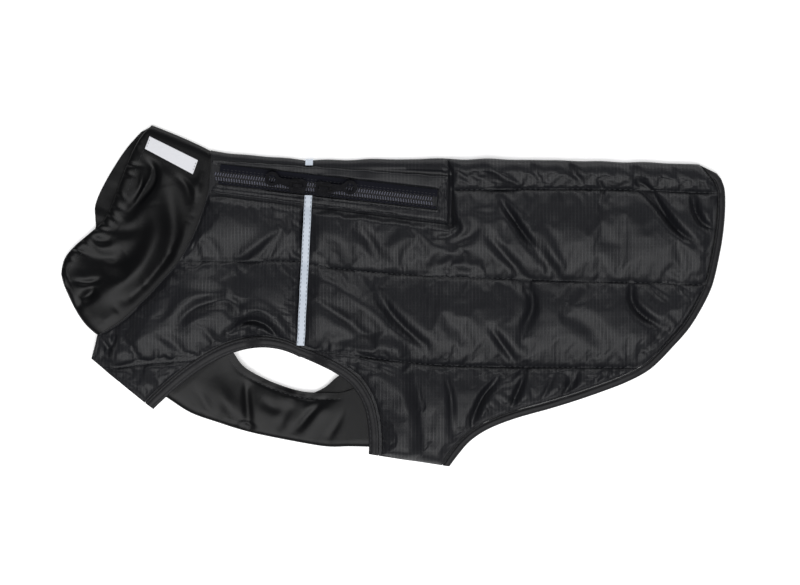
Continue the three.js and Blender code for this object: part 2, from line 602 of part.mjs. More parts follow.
function hemStations() {
  const column = rear.outer[0].length - 1;
  const made = [];
  const steps = rear.outer.length;
  const firstUpper = upperIndex(rear, 1);
  const lowerCount = rear.lowerRows.length - 1;
  for (let g = 0; g < steps; g++) {
    const [a, b] = [rear.outer[g][column], rear.inner[g][column]];
    const isUpper = g >= firstUpper;
    const inFold = g >= lowerCount && !isUpper;
    let rim;
    if (isUpper) rim = rear.rows[g - firstUpper + 1].back;
    else if (!inFold) rim = rear.lowerRows[lowerCount - g].back;
    made.push({ a, b, rim, isUpper, inFold });
  }
  return made;
}

// The hem's binding goes round the back fold, so its sections there stand between the ends of
// the upper and the lower layer and point past the tail.
function hemBinding() {
  const stations = hemStations();
  const crest = REAR_ROWS[0].back;
  const brow = REAR_ROWS[1].back;
  const upper = [];
  const lower = [];
  const fold = stations.filter((s) => s.inFold);
  for (const s of stations) {
    let rim = s.rim;
    if (s.inFold) {
      const share = Math.cos(FOLD_ANGLES[fold.length - 1 - fold.indexOf(s)]);
      rim = lerpPoint(brow, crest, share);
    }
    const middle = (s.a.z + s.b.z) / 2;
    const rimPoint = new THREE.Vector3(rim.x, rim.y, middle);
    const start = SEAM_GAP / Math.max(1, distance(s.a, rim));
    const outerRim = rimPoint.clone().setZ(lerp(s.a.z, middle, s.isUpper || s.inFold ? 0.6 : 0.1));
    const innerRim = rimPoint.clone().setZ(lerp(s.b.z, middle, 0.4));
    const shares = [start, ...BINDING_SHARES];
    upper.push([...shares.map((share) => s.a.clone().lerp(outerRim, share)), outerRim]);
    lower.push([...shares.map((share) => s.b.clone().lerp(innerRim, share)), innerRim]);
    for (const k of [1, 2]) {
      upper.at(-1)[k].z = lerp(upper.at(-1)[k].z, s.a.z, 0.8);
      lower.at(-1)[k].z = lerp(lower.at(-1)[k].z, s.b.z, 0.8);
    }
  }
  return wallGeometry(upper, lower);
}

// Chest panel: a strip folded lengthways, its fold along the coat's lower edge.
function chestPanel() {
  const outer = [];
  const inner = [];
  const sections = [];
  const count = (CHEST_SECTIONS.length - 1) * CHEST_STEPS;
  for (let k = 0; k <= count; k++) {
    const i = Math.min(Math.floor(k / CHEST_STEPS), CHEST_SECTIONS.length - 2);
    const [a, b] = [CHEST_SECTIONS[i], CHEST_SECTIONS[i + 1]];
    const t = k / CHEST_STEPS - i;
    sections.push({
      fold: lerpPoint(point(a.fold), point(b.fold), t),
      upper: lerpPoint(point(a.upper), point(b.upper), t),
      lower: lerpPoint(point(a.lower), point(b.lower), t),
      lift: lerp(a.lift, b.lift, t),
    });
  }
  for (const s of sections) {
    const buried = Math.min(1, s.lift / UPPER_INNER); // creases stay flat where layers lie on the panel
    const top = s.lift + CHEST_TOP;
    const upperOuter = CHEST_SHARES.map((share) => {
      const p = lerpPoint(s.upper, s.fold, share * CHEST_BROW);
      const crease = foldHeight(p, CHEST_FOLDS) * (1 - buried) * Math.min(1, share * 3);
      return new THREE.Vector3(p.x, p.y, top + crease);
    });
    const upperInner = upperOuter.map((p) => new THREE.Vector3(p.x, p.y, s.lift + CHEST_WALL + LAYER_GAP));
    const lowerOuter = CHEST_SHARES.map((share) => {
      const p = lerpPoint(s.lower, s.fold, share * CHEST_BROW);
      return new THREE.Vector3(p.x, p.y, s.lift);
    }).reverse();
    const lowerInner = lowerOuter.map((p) => new THREE.Vector3(p.x, p.y, s.lift + CHEST_WALL));
    const start = lerpPoint(s.upper, s.fold, CHEST_BROW);
    const share = Math.max(0.1, 1 - CHEST_WALL / distance(start, s.fold));
    const [low, high] = [s.lift + CHEST_WALL, s.lift + CHEST_WALL + LAYER_GAP];
    const turnOuter = FOLD_ANGLES.map((angle) => foldPoint(start, s.fold, s.lift, top, 1, angle));
    const turnInner = FOLD_ANGLES.map((angle) => foldPoint(start, s.fold, low, high, share, angle));
    outer.push([...upperOuter, ...turnOuter, ...lowerOuter]);
    inner.push([...upperInner, ...turnInner, ...lowerInner]);
  }
  return wallGeometry(outer, inner);
}

// Collar: a tube of rings from its mouth to the neckline, pressed flat, with the lower layer's
// mouth standing out past the upper one.
function collarTube() {
  const neck = NECKLINE.map((p, i) => {
    const before = NECKLINE[Math.max(0, i - 1)];
    const after = NECKLINE[Math.min(NECKLINE.length - 1, i + 1)];
    const length = distance(before, after);
    const normal = { x: (after.y - before.y) / length, y: (before.x - after.x) / length };
    return { x: p.x + normal.x * SEAM_GAP * 1.3, y: p.y + normal.y * SEAM_GAP * 1.3 };
  });
  const last = COLLAR_ROWS.length - 1;
  const along = (layer, v, t) => {
    const i = Math.min(last - 1, Math.floor(v));
    const mouth = lerpPoint(COLLAR_ROWS[i][layer], COLLAR_ROWS[i + 1][layer], v - i);
    const seam = lerpPoint(neck[i], neck[i + 1], v - i);
    const swell = lerp(COLLAR_ROWS[i].swell, COLLAR_ROWS[i + 1].swell, v - i);
    const out = (swell * 4 * t * (1 - t) * (0.6 + 0.8 * t)) / distance(mouth, seam);
    const p = lerpPoint(mouth, seam, t);
    return { x: p.x + (seam.y - mouth.y) * out, y: p.y - (seam.x - mouth.x) * out };
  };
  const upperCount = 2 * MOUTH_GATHERS;
  const upperSteps = Array.from({ length: upperCount + 1 }, (_, k) => 1 + ((last - 2) * k) / upperCount);
  const lowerSteps = Array.from({ length: last - 1 }, (_, k) => last - 1 - k);
  const upperTop = (v, t, k) => {
    const p = along("upper", v, t);
    const pinch = k % 2 ? -GATHER_DEPTH : 0;
    const gathers = pinch * Math.max(0, 1 - t / GATHER_REACH);
    const ends = Math.min(1, (1 - t) * 5) * Math.min(1, (t + 0.05) * 5);
    const padded = COLLAR_WALL + foldHeight(p, COLLAR_FOLDS) * ends + gathers;
    const flat = smooth(1 - (outside(p, LABEL.corners) - LABEL.margin) / LABEL.slope);
    const seam = lerp(padded, STITCHED, smooth((t - 0.8) / 0.2));
    return new THREE.Vector3(p.x, p.y, UPPER_INNER + lerp(seam, COLLAR_WALL, flat * (t < 0.95 ? 1 : 0)));
  };
  const outer = [];
  const inner = [];
  const addFold = (browV, crestV, angles) => {
    for (const angle of angles) {
      const ringOuter = [];
      const ringInner = [];
      for (let r = 0; r <= COLLAR_RINGS; r++) {
        const t = r / COLLAR_RINGS;
        const top = upperTop(browV, t, 0);
        const crest = along("upper", crestV, t);
        ringOuter.push(foldPoint(top, crest, 0, top.z, 1, angle));
        ringInner.push(foldPoint(top, crest, LOWER_WALL, UPPER_INNER, foldShare(top, crest), angle));
      }
      outer.push(ringOuter);
      inner.push(ringInner);
    }
  };
  upperSteps.forEach((v, k) => {
    const made = Array.from({ length: COLLAR_RINGS + 1 }, (_, r) => upperTop(v, r / COLLAR_RINGS, k));
    outer.push(made);
    inner.push(made.map((p) => new THREE.Vector3(p.x, p.y, UPPER_INNER)));
  });
  addFold(last - 1, last, FOLD_ANGLES);
  for (const v of lowerSteps) {
    const made = Array.from({ length: COLLAR_RINGS + 1 }, (_, r) => along("lower", v, r / COLLAR_RINGS));
    outer.push(made.map((p) => new THREE.Vector3(p.x, p.y, 0)));
    inner.push(made.map((p) => new THREE.Vector3(p.x, p.y, LOWER_WALL)));
  }
  addFold(1, 0, [...FOLD_ANGLES].reverse());
  return wallGeometry(outer, inner, true);
}

// Zip: its own frame has x along the teeth, y across them and z up from the padding's flat bed.

const zipDirection = ZIP_END.clone().sub(ZIP_START);
const zipLength = zipDirection.length();
const zip = new THREE.Group();
zip.position.set(ZIP_START.x, ZIP_START.y, ZIP_BED + BED_GAP);
zip.rotation.z = Math.atan2(zipDirection.y, zipDirection.x);

function inZip(x, y) {
  const turned = new THREE.Vector2(x, y).sub(ZIP_START).rotateAround(new THREE.Vector2(), -zip.rotation.z);
  return [turned.x, turned.y];
}

function placketGeometry() {
  const shape = shapeFrom(PLACKET.map(([x, y]) => inZip(x, y)));
  const start = WINDOW.start - SEAM_GAP;
  const end = zipLength + WINDOW.past + SEAM_GAP;
  const low = -WINDOW.below - SEAM_GAP;
  const high = WINDOW.above + SEAM_GAP;
  const corners = [[start, low], [end, low], [end, high], [start, high]];
  shape.holes.push(new THREE.Path(corners.map(([x, y]) => new THREE.Vector2(x, y))));
  return extruded(shape, PLACKET_WALL);
}

function tapeGeometry(low, high) {
  const { start, past } = WINDOW;
  const end = zipLength + past;
  const shape = shapeFrom([[start, low], [end, low], [end, high], [start, high]]);
  return extruded(shape, TAPE_WALL);
}

function chainGeometry() {
  const { width, height, edge, shoulder, groove, dip } = CHAIN;
  const { start, past } = CHAIN_ENDS;
  const half = width / 2;
  const profile = [
    [-half, 0],
    [half, 0],
    [half, edge],
    [half - shoulder, height],
    [groove, height],
    [0, dip],
    [-groove, height],
    [-half + shoulder, height],
    [-half, edge],
  ];
  const geometry = extruded(shapeFrom(profile), zipLength + past - start);
  // The profile's x runs across the teeth and its depth along them.
  geometry.applyMatrix4(new THREE.Matrix4().makeBasis(
    new THREE.Vector3(0, 1, 0), new THREE.Vector3(0, 0, 1), new THREE.Vector3(1, 0, 0)));
  geometry.translate(start, 0, 0);
  return geometry;
}

// A slider covers the teeth like a channel and carries the bail that its pull hangs in.
function sliderGeometry() {
  const { length, width, roof, side, tail } = SLIDER;
  const roofLow = CHAIN.height + CLEARANCE;
  const half = width / 2;
  const [tailHalf, headHalf, noseHalf] = [half * 0.72, half * 0.95, half * 0.35];
  const shoulder = length * 0.2;
  const shield = new THREE.Shape();
  shield.moveTo(-length / 2, -tailHalf);
  shield.quadraticCurveTo(-length / 2 - tail, 0, -length / 2, tailHalf);
  shield.lineTo(shoulder, half);
  shield.quadraticCurveTo(length / 2, headHalf, length / 2, noseHalf);
  shield.lineTo(length / 2, -noseHalf);
  shield.quadraticCurveTo(length / 2, -headHalf, shoulder, -half);
  let body = toSolid(extruded(shield, roof).translate(0, 0, roofLow));
  const wallLow = TAPE_WALL + BED_GAP;
  const wallHigh = roofLow + 0.4; // a little way into the roof, to join it
  for (const sign of [-1, 1]) {
    const wall = new THREE.BoxGeometry(length * 0.62, side, wallHigh - wallLow);
    const y = sign * (CHAIN.width / 2 + CLEARANCE + side / 2);
    wall.translate(-length * 0.08, y, (wallHigh + wallLow) / 2);
    body = body.add(toSolid(wall));
  }
  return toGeometry(body.add(toSolid(bailGeometry(roofLow + roof))));
}

// The bail is an arch across the slider, open below its top bar.
function bailGeometry(base) {
  const { span, width, wall, rise, corner, root } = BAIL;
  const half = span / 2;
  const bail = new THREE.Shape();
  bail.moveTo(-half, -root);
  bail.lineTo(half, -root);
  bail.lineTo(half, rise - wall);
  bail.quadraticCurveTo(half, rise, half - corner, rise);
  bail.lineTo(-half + corner, rise);
  bail.quadraticCurveTo(-half, rise, -half, rise - wall);
  const eye = new THREE.Path();
  eye.moveTo(-half + wall, 0);
  eye.lineTo(-half + wall, rise - wall);
  eye.lineTo(half - wall, rise - wall);
  eye.lineTo(half - wall, 0);
  bail.holes.push(eye);
  return extruded(bail, width).rotateX(Math.PI / 2).translate(0, width / 2, base);
}

// A pull lies along -x from its hinge bar, which is at its origin.
function pullGeometry() {
  const { length, wall, neck, waist, ring, hole, slot, bar } = PULL;
  const ringX = -length + ring / 2;
  const shoulder = -slot - 1.2;
  const narrowed = -slot - 3.2;
  const [waistEnd, bend] = [ringX + ring * 0.62, ringX + ring * 0.45];
  const join = { x: ring * 0.34, y: ring * 0.37 }; // where the ring's round starts
  const joinAngle = Math.atan2(join.y, join.x);
  const shape = new THREE.Shape();
  shape.moveTo(bar / 2, -neck / 2);
  shape.lineTo(bar / 2, neck / 2);
  shape.lineTo(shoulder, neck / 2);
  shape.quadraticCurveTo(narrowed, waist / 2, waistEnd, waist / 2);
  shape.quadraticCurveTo(bend, waist / 2, ringX + join.x, join.y);
  shape.absarc(ringX, 0, ring / 2, joinAngle, 2 * Math.PI - joinAngle, false);
  shape.quadraticCurveTo(bend, -waist / 2, waistEnd, -waist / 2);
  shape.quadraticCurveTo(narrowed, -waist / 2, shoulder, -neck / 2);
  const eye = new THREE.Path();
  eye.absarc(ringX, 0, hole / 2, 0, 2 * Math.PI, true);
  const window = new THREE.Path();
  const half = BAIL.width / 2 + 0.85;
  window.moveTo(-bar / 2, -half);
  window.lineTo(-slot, -half);
  window.lineTo(-slot, half);
  window.lineTo(-bar / 2, half);
  shape.holes.push(eye, window);
  return extruded(shape, wall, 8).translate(0, 0, -wall / 2);
}

// A slider on the teeth at x in the coat, with its pull on a hinge in its bail.
function sliderWithPull({ side, x, facing, askew }) {
  const place = new THREE.Group();
  place.position.copy(alongZip(x));
  place.rotation.z = facing;
  const hinge = new THREE.Group();
  const axle = (BAIL.rise - BAIL.wall) / 2;
  hinge.position.set(-0.4, 0, CHAIN.height + CLEARANCE + SLIDER.roof + axle);
  hinge.rotation.set(0, -PULL_DROOP, askew, "ZYX");
  hinge.add(piece("pull_" + side, pullGeometry(), ZIP_PLASTIC));
  place.add(piece("slider_" + side, sliderGeometry(), ZIP_PLASTIC), hinge);
  return place;
}

function alongZip(x) {
  const share = (x - ZIP_START.x) / (ZIP_END.x - ZIP_START.x);
  return new THREE.Vector3(share * zipLength, 0, 0);
}

// Reflective stripe: over the placket at its top, then down the seam between yoke and rear panel.
function stripeGeometry() {
  const half = STRIPE.width / 2;
  const placketTop = ZIP_BED + BED_GAP + PLACKET_WALL;
  const heights = [
    { share: 0, base: placketTop },
    { share: 0.078, base: placketTop },
    { share: 0.1, base: ZIP_BED },
    { share: 0.13, base: ZIP_BED },
    { share: 0.22, base: UPPER_INNER + STITCHED },
    { share: 1, base: UPPER_INNER + STITCHED },
  ];
  const outer = [];
  const inner = [];
  for (const { share, base } of heights) {
    const p = lerpPoint(point(STRIPE.top), point(STRIPE.bottom), share);
    const low = base + CLEARANCE;
    const pair = (z) => [-half, half].map((x) => new THREE.Vector3(p.x + x, p.y, z));
    outer.push(pair(low + STRIPE.wall));
    inner.push(pair(low));
  }
  return wallGeometry(outer, inner);
}

// The stripe on the other side: it shows between placket and back fold, goes round the fold and
// down the lower layer's seam.
function farStripeGeometry() {
  const crest = lerpPoint(YOKE_ROWS[0].back, REAR_ROWS[0].front, 0.5);
  const brow = lerpPoint(YOKE_ROWS[1].back, REAR_ROWS[1].front, 0.5);
  const end = lerpPoint(YOKE_ROWS.at(-1).back, REAR_ROWS[SEAM_END_ROW].front, 0.5);
  const browTop = new THREE.Vector3(brow.x, brow.y, ZIP_BED);
  const line = [{ x: brow.x, y: brow.y + FAR_STRIPE.tuck, z: ZIP_BED, out: 0 }];
  for (const angle of FOLD_ANGLES) {
    const p = foldPoint(browTop, crest, SEAM_RECESS, ZIP_BED, 1, angle);
    line.push({ x: p.x, y: p.y, z: p.z, out: Math.PI / 2 - angle });
  }
  line.push({ x: brow.x, y: brow.y, z: SEAM_RECESS, out: Math.PI });
  line.push({ x: end.x, y: end.y + FAR_STRIPE.short, z: SEAM_RECESS, out: Math.PI });
  const offset = (distance) => line.map(({ x, y, z, out }) => {
    const move = { y: Math.sin(out) * distance, z: Math.cos(out) * distance };
    const half = STRIPE.width / 2;
    return [-half, half].map((side) => new THREE.Vector3(x + side, y + move.y, z + move.z));
  });
  return wallGeometry(offset(CLEARANCE + STRIPE.wall), offset(CLEARANCE));
}

function labelGeometry() {
  const base = UPPER_INNER + COLLAR_WALL + CLEARANCE;
  return extruded(shapeFrom(LABEL.corners), LABEL.wall).translate(0, 0, base);
}

// Assembly

const coat = new THREE.Group();
coat.add(
  piece("yoke", yoke.geometry, SHELL),
  piece("rear_panel", rear.geometry, SHELL),
  piece("chest_panel", chestPanel(), SATIN),
  piece("collar", collarTube(), SATIN),
  piece("leg_binding_left", bindingGeometry(holeStations(true)), TRIM),
  piece("leg_binding_right", bindingGeometry(holeStations(false)), TRIM),
  piece("hem_binding", hemBinding(), TRIM),
  piece("reflective_stripe_left", stripeGeometry(), REFLECTIVE),
  piece("reflective_stripe_right", farStripeGeometry(), REFLECTIVE),
  piece("neck_label", labelGeometry(), WHITE_CLOTH),
);
const tapeEdge = CHAIN.width / 2 + BED_GAP;
zip.add(
  piece("placket", placketGeometry(), SHELL),
  piece("zip_tape_upper", tapeGeometry(tapeEdge, WINDOW.above), ZIP_CLOTH),
  piece("zip_tape_lower", tapeGeometry(-WINDOW.below, -tapeEdge), ZIP_CLOTH),
  piece("zip_chain", chainGeometry(), ZIP_PLASTIC),
  ...SLIDERS.map(sliderWithPull),
);
coat.add(zip);

// The origin is under the middle of the coat, on the table.
const reach = new THREE.Box3().setFromObject(coat, true);
const middle = reach.getCenter(new THREE.Vector3());
coat.position.set(-middle.x, -middle.y, -reach.min.z);

export default coat;
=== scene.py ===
import math
from collections import namedtuple

import bmesh
import bpy
import numpy as np
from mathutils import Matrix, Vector
from mathutils.bvhtree import BVHTree


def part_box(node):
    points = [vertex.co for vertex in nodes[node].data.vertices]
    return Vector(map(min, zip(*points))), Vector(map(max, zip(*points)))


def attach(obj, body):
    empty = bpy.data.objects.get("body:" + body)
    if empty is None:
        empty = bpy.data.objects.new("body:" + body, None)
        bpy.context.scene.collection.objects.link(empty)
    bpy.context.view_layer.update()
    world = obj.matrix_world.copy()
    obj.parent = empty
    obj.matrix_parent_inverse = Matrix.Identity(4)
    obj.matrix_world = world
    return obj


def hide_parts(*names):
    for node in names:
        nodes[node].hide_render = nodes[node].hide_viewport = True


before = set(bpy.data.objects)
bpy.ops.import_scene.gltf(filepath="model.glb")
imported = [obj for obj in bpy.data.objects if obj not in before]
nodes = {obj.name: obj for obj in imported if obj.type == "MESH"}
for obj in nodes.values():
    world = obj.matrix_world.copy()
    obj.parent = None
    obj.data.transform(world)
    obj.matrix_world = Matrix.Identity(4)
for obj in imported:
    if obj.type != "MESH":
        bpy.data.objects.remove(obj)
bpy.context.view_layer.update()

# A small dog's padded winter coat, zipped along the back and laid with its left side up.
# Sizes are millimetres in the coat's drawing frame: +X from neck to tail, +Y towards the back
# fold, +Z up from the table. Every panel that crosses the back is one wall, folded in two layers.
MM = 0.001

# Layers and padding
LOWER_WALL = 3.0
LAYER_GAP = 0.4
SEAM_GAP = 0.4
STITCHED = 2.6
REAR_LOFT = 6.2
YOKE_LOFT = 4.4
SEAM_FLAT = 3.2
QUILT_REACH = 24.0
UPPER_INNER = LOWER_WALL + LAYER_GAP
BINDING_WIDTH = 6.8
HEM_WIDTH = 5.2
CHEST_WALL = 2.2
COLLAR_WALL = 3.4
ZIP_BED = UPPER_INNER + 3.4
HOLE_SHIFT = 3.0
ARCH_LEAN = 0.35
SEAM_RECESS = 1.1
NECK_SEAM = 0.1

# Mesh steps
COARSE_STEPS = 2  # rows between the rows of a table
LOWER_STEPS = 3  # the same for the lower layer
SIM_STEPS = 3  # rows between those for the cloth simulation
FINE = 2  # the finished cloth is this much finer than the simulated one
BACKING = 4  # the cloth's hidden inner face is this much coarser than its outer face
FOLD_STEPS = 11
FOLD_ANGLES = np.linspace(-math.pi / 2, math.pi / 2, FOLD_STEPS + 2)[1:-1]
CHEST_STEPS = 14
CHEST_COLUMNS = 41
COLLAR_STEPS = 16
COLLAR_COLUMNS = 85

# Cloth simulation
PADDING_PRESSURE = 3.0
CLOTH_EXCESS = 0.012
CLOTH_STIFFNESS = 8.0
CLOTH_BENDING = 1.0
CLOTH_MASS = 0.3
SIM_FRAMES = 20
SIM_REACH = 3.2  # no point moves further than this
HELD_BY_STITCHES = 3.0  # how far from them the cloth is still held
HELD_BY_EDGES = 4.0

# Small unevenness, each as a height and a length of wave
LOFT_SWAY = (0.10, 55)
SKIN_SWAY = (0.10, 9)
CREST_SWAY = (0.7, 24)
STITCH_GROOVE = (0.55, 1.3)  # depth and width
END_SEAM_DEPTH = 2.4
END_SEAM_WIDTHS = (1.0, 3.0)  # at its top and at its foot
BED_MARGIN = 0.6
BED_SLOPE = 6.0

Row = namedtuple("Row", "front back bow bend hole", defaults=(None, False))

# Rows of the yoke from the back fold to the leg hole, as in the solid that the cloth stands for.
YOKE_ROWS = [
    Row((-123.8, 98.6), (-57.0, 92.2), 0),
    Row((-123.4, 93.0), (-57.1, 87.0), 0),
    Row((-124.0, 82.0), (-58.0, 72.3), 0),
    Row((-125.5, 69.2), (-58.8, 60.0), 0),
    Row((-129.6, 56.2), (-59.5, 48.0), 0),
    Row((-135.3, 41.5), (-60.1, 36.0), 0),
    Row((-144.2, 24.8), (-60.9, 23.8), 0),
    Row((-153.3, 14.0), (-61.3, 15.5), 0.5),
    Row((-168.0, -1.8), (-61.7, 6.0), 2.0),
    Row((-182.6, -15.6), (-62.1, -2.0), 5.0),
    Row((-191.8, -21.8), (-62.3, -7.0), 7.5),
    Row((-200.6, -26.5), (-62.5, -11.0), 10.0, "front"),
    Row((-202.2, -33.6), (-62.6, -15.0), 12.0),
    Row((-204.6, -42.4), (-62.7, -19.5), 14.5, "front"),
    Row((-197.1, -48.6), (-62.8, -23.0), 16.2),
    Row((-186.6, -57.0), (-62.9, -26.6), 18.0),
    Row((-178.1, -63.9), (-63.0, -29.4), 19.2),
    Row((-172.1, -68.8), (-63.0, -32.0), 20.0),
    Row((-168.0, -72.1), (-63.0, -34.4), 20.3),
]
YOKE_RIM = Row((-162.2, -76.5), (-62.8, -41.8), 19.0)
NECKLINE = [row.front for row in YOKE_ROWS[:12]]

# Rows of the rear panel from the back fold to the belly edge.
REAR_ROWS = [
    Row((-56.6, 92.2), (208.0, 89.0), 2.2),
    Row((-56.7, 87.0), (219.6, 83.2), 1.4),
    Row((-57.2, 79.5), (224.0, 76.0), 0.5),
    Row((-57.6, 71.0), (225.4, 68.5), 2.5),
    Row((-58.4, 59.0), (225.2, 55.0), -1),
    Row((-59.1, 47.0), (223.7, 40.0), -2),
    Row((-59.7, 35.0), (221.0, 25.0), -3),
    Row((-60.5, 22.4), (216.8, 7.6), -4),
    Row((-61.0, 8.0), (210.3, -6.6), -4),
    Row((-61.6, -8.0), (201.0, -21.8), -4),
    Row((-62.2, -24.0), (189.8, -34.6), -5),
    Row((-62.4, -41.4), (175.4, -49.0), -6, "front", True),
    Row((-48.0, -47.6), (160.4, -57.6), -4, None, True),
    Row((-37.4, -53.2), (144.4, -64.0), -2, None, True),
    Row((-27.3, -61.3), (124.3, -71.0), 0, None, True),
    Row((-20.3, -72.8), (104.0, -77.2), 0, None, True),
    Row((-17.4, -84.0), (84.0, -82.8), 0, None, True),
    Row((-16.4, -93.0), (64.5, -90.4), 0, None, True),
    Row((-16.2, -100.0), (50.5, -100.2), 0, None, True),
    Row((-16.5, -107.0), (38.2, -115.6), 0, None, True),
]
SEAM_END_ROW = next(i for i, row in enumerate(REAR_ROWS) if row.hole)

# Lines of stitches that hold the padding down.
STITCH_LINES = [
    [(-57, 71.0), (44, 72.0), (88, 72.6), (152, 72.4), (226, 69.5)],
    [(-145, 23.8), (-61, 23.8)],
    [(-60, 22.4), (-37, 18.6), (5, 14.8), (94, 11.2), (152, 9.6), (218, 7.6)],
    [(-204, -49.5), (-187, -48.6), (-165, -45.6), (-137, -43.5), (-110, -37.5)],
    [(-62, -35.6), (-46, -37.7), (5, -44.2), (31, -46.6), (71, -47.8), (176, -48.6)],
]

# Collar rows from the nape fold to the throat fold: its upper and lower mouth, and how far the
# middle of the row stands out towards the throat.
CollarRow = namedtuple("CollarRow", "upper lower swell")
COLLAR_ROWS = [
    CollarRow((-163.6, 116.0), (-163.6, 116.0), -0.6),
    CollarRow((-169.0, 110.6), (-171.0, 111.4), 0),
    CollarRow((-175.0, 101.5), (-181.0, 100.2), 0),
    CollarRow((-180.6, 89.0), (-189.6, 87.4), 0),
    CollarRow((-185.8, 75.5), (-197.0, 74.4), 0),
    CollarRow((-190.6, 62.5), (-202.2, 62.0), 0),
    CollarRow((-196.8, 50.8), (-202.2, 53.0), 0),
    CollarRow((-206.0, 42.4), (-202.6, 45.0), 0),
    CollarRow((-215.6, 34.2), (-211.6, 36.0), 0.4),
    CollarRow((-222.6, 25.6), (-218.6, 27.4), 1.0),
    CollarRow((-225.0, 14.6), (-221.4, 16.0), 1.8),
    CollarRow((-223.4, 7.4), (-223.4, 7.4), 3.0),
]

# Sections of the folded chest panel from the throat to the belly.
Section = namedtuple("Section", "fold upper lower lift")
CHEST_SECTIONS = [
    Section((-174.0, -53.0), (-125.0, -18.0), (-127.4, -20.6), 3.4),
    Section((-165.4, -60.2), (-119.0, -24.0), (-121.6, -27.0), 3.4),
    Section((-151.6, -70.0), (-109.4, -36.4), (-112.8, -40.4), 3.4),
    Section((-137.0, -79.3), (-101.8, -47.2), (-104.8, -51.4), 1.8),
    Section((-119.0, -85.8), (-90.4, -54.4), (-93.4, -58.8), 0.0),
    Section((-97.8, -92.3), (-77.4, -60.1), (-79.6, -64.4), 0.0),
    Section((-70.0, -98.1), (-61.6, -64.7), (-62.2, -67.4), 0.0),
    Section((-45.6, -102.1), (-46.0, -65.6), (-47.6, -62.8), 1.4),
    Section((-29.2, -102.0), (-33.0, -65.0), (-37.0, -54.2), 3.4),
    Section((-15.0, -102.3), (-20.0, -60.0), (-24.0, -49.0), 3.4),
    Section((-2.0, -102.8), (-6.0, -54.0), (-8.0, -47.0), 3.4),
]
CHEST_TOP = 2 * CHEST_WALL + LAYER_GAP
CHEST_HEM = 4.4  # from its edge to its row of stitches
TUCKED_ENDS = [
    [(-178, -50), (-129, -12), (-110, -37), (-152, -70)],
    [(-29, -102), (-37, -54), (-8, -47), (-2, -103)],
]
TUCK_LIFT = CHEST_TOP + 0.6
TUCK_FLAT = 11.0
TUCK_SLOPE = 13.0

# Zip, placket and trims
ZIP_START = np.array([-121.6, 81.4])
ZIP_END = np.array([28.3, 64.0])
WINDOW_ABOVE = 8.4
WINDOW_BELOW = 4.9
PLACKET = [(-122.6, 92.2), (37.4, 81.6), (37.4, 49.6), (-123.8, 69.9)]
PLACKET_WALL = 1.0
END_SEAM = [(39.2, 85), (39.6, 66), (40, 49)]
TAPE_WALL = 0.6
TOOTH_PITCH = 1.75
STRIPE_TOP = (-57.3, 68.2)
STRIPE_BOTTOM = (-62.6, -33.6)
STRIPE_WIDTH = 5.1
STRIPE_WALL = 0.45
STRIPE_STEP = 1.4
LABEL_INSET = 0.035  # share of its length
LABEL = [(-165.0, 108.4), (-132.1, 92.1), (-135.6, 82.4), (-168.3, 99.8)]

LABEL_WALL = 0.35
LABEL_LIFT = 0.55  # of its top over the collar
TOOTH_SLANT = (-0.4, 0.25)  # each pair is for a tooth's inner and outer end
TOOTH_SPAN = (0.3, 2.9)
TOOTH_HEIGHT = (0.85, 0.8)
TOOTH_RADII = (0.42, 0.66)

# Stitches: their length, gap and radius, and how far they sink in where it isn't the usual depth
BODY_STITCH = (2.5, 1.1, 0.24)
TAPE_STITCH = (2.3, 0.9, 0.17)
PLACKET_STITCH = (2.4, 0.9, 0.18)
CHEST_STITCH = (2.4, 1.0, 0.17)
COLLAR_STITCH = (2.4, 1.1, 0.14, 0.0)
STRIPE_STITCH = (2.0, 0.9, 0.16, 0.0)
LABEL_STITCH = (1.5, 0.6, 0.15, 0.0)
LABEL_BORDER = (1.0, 0.05, 0.2, 0.0)
COIL_STITCH = (1.2, 0.4, 0.16)
ZIP_STITCH = (1.8, 0.8, 0.13)
COIL_THREADS = (-1.5, 1.5)  # places across the zip
ZIP_THREADS = (-3.7, 3.7, 5.2)

# The placket's four sides, in the order of its corners
FOLD_SIDE, TAIL_SIDE, BELLY_SIDE, COLLAR_SIDE = range(4)
PLACKET_COUNTS = (110, 18, 110, 18)
PLACKET_RINGS = 15

# The drawing frame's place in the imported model, from the foot of the left stripe.
stripe_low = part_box("reflective_stripe_left")[0]
SHIFT = np.array([
    stripe_low.x / MM - (STRIPE_BOTTOM[0] - STRIPE_WIDTH / 2),
    stripe_low.y / MM - STRIPE_BOTTOM[1],
    0.0,
])

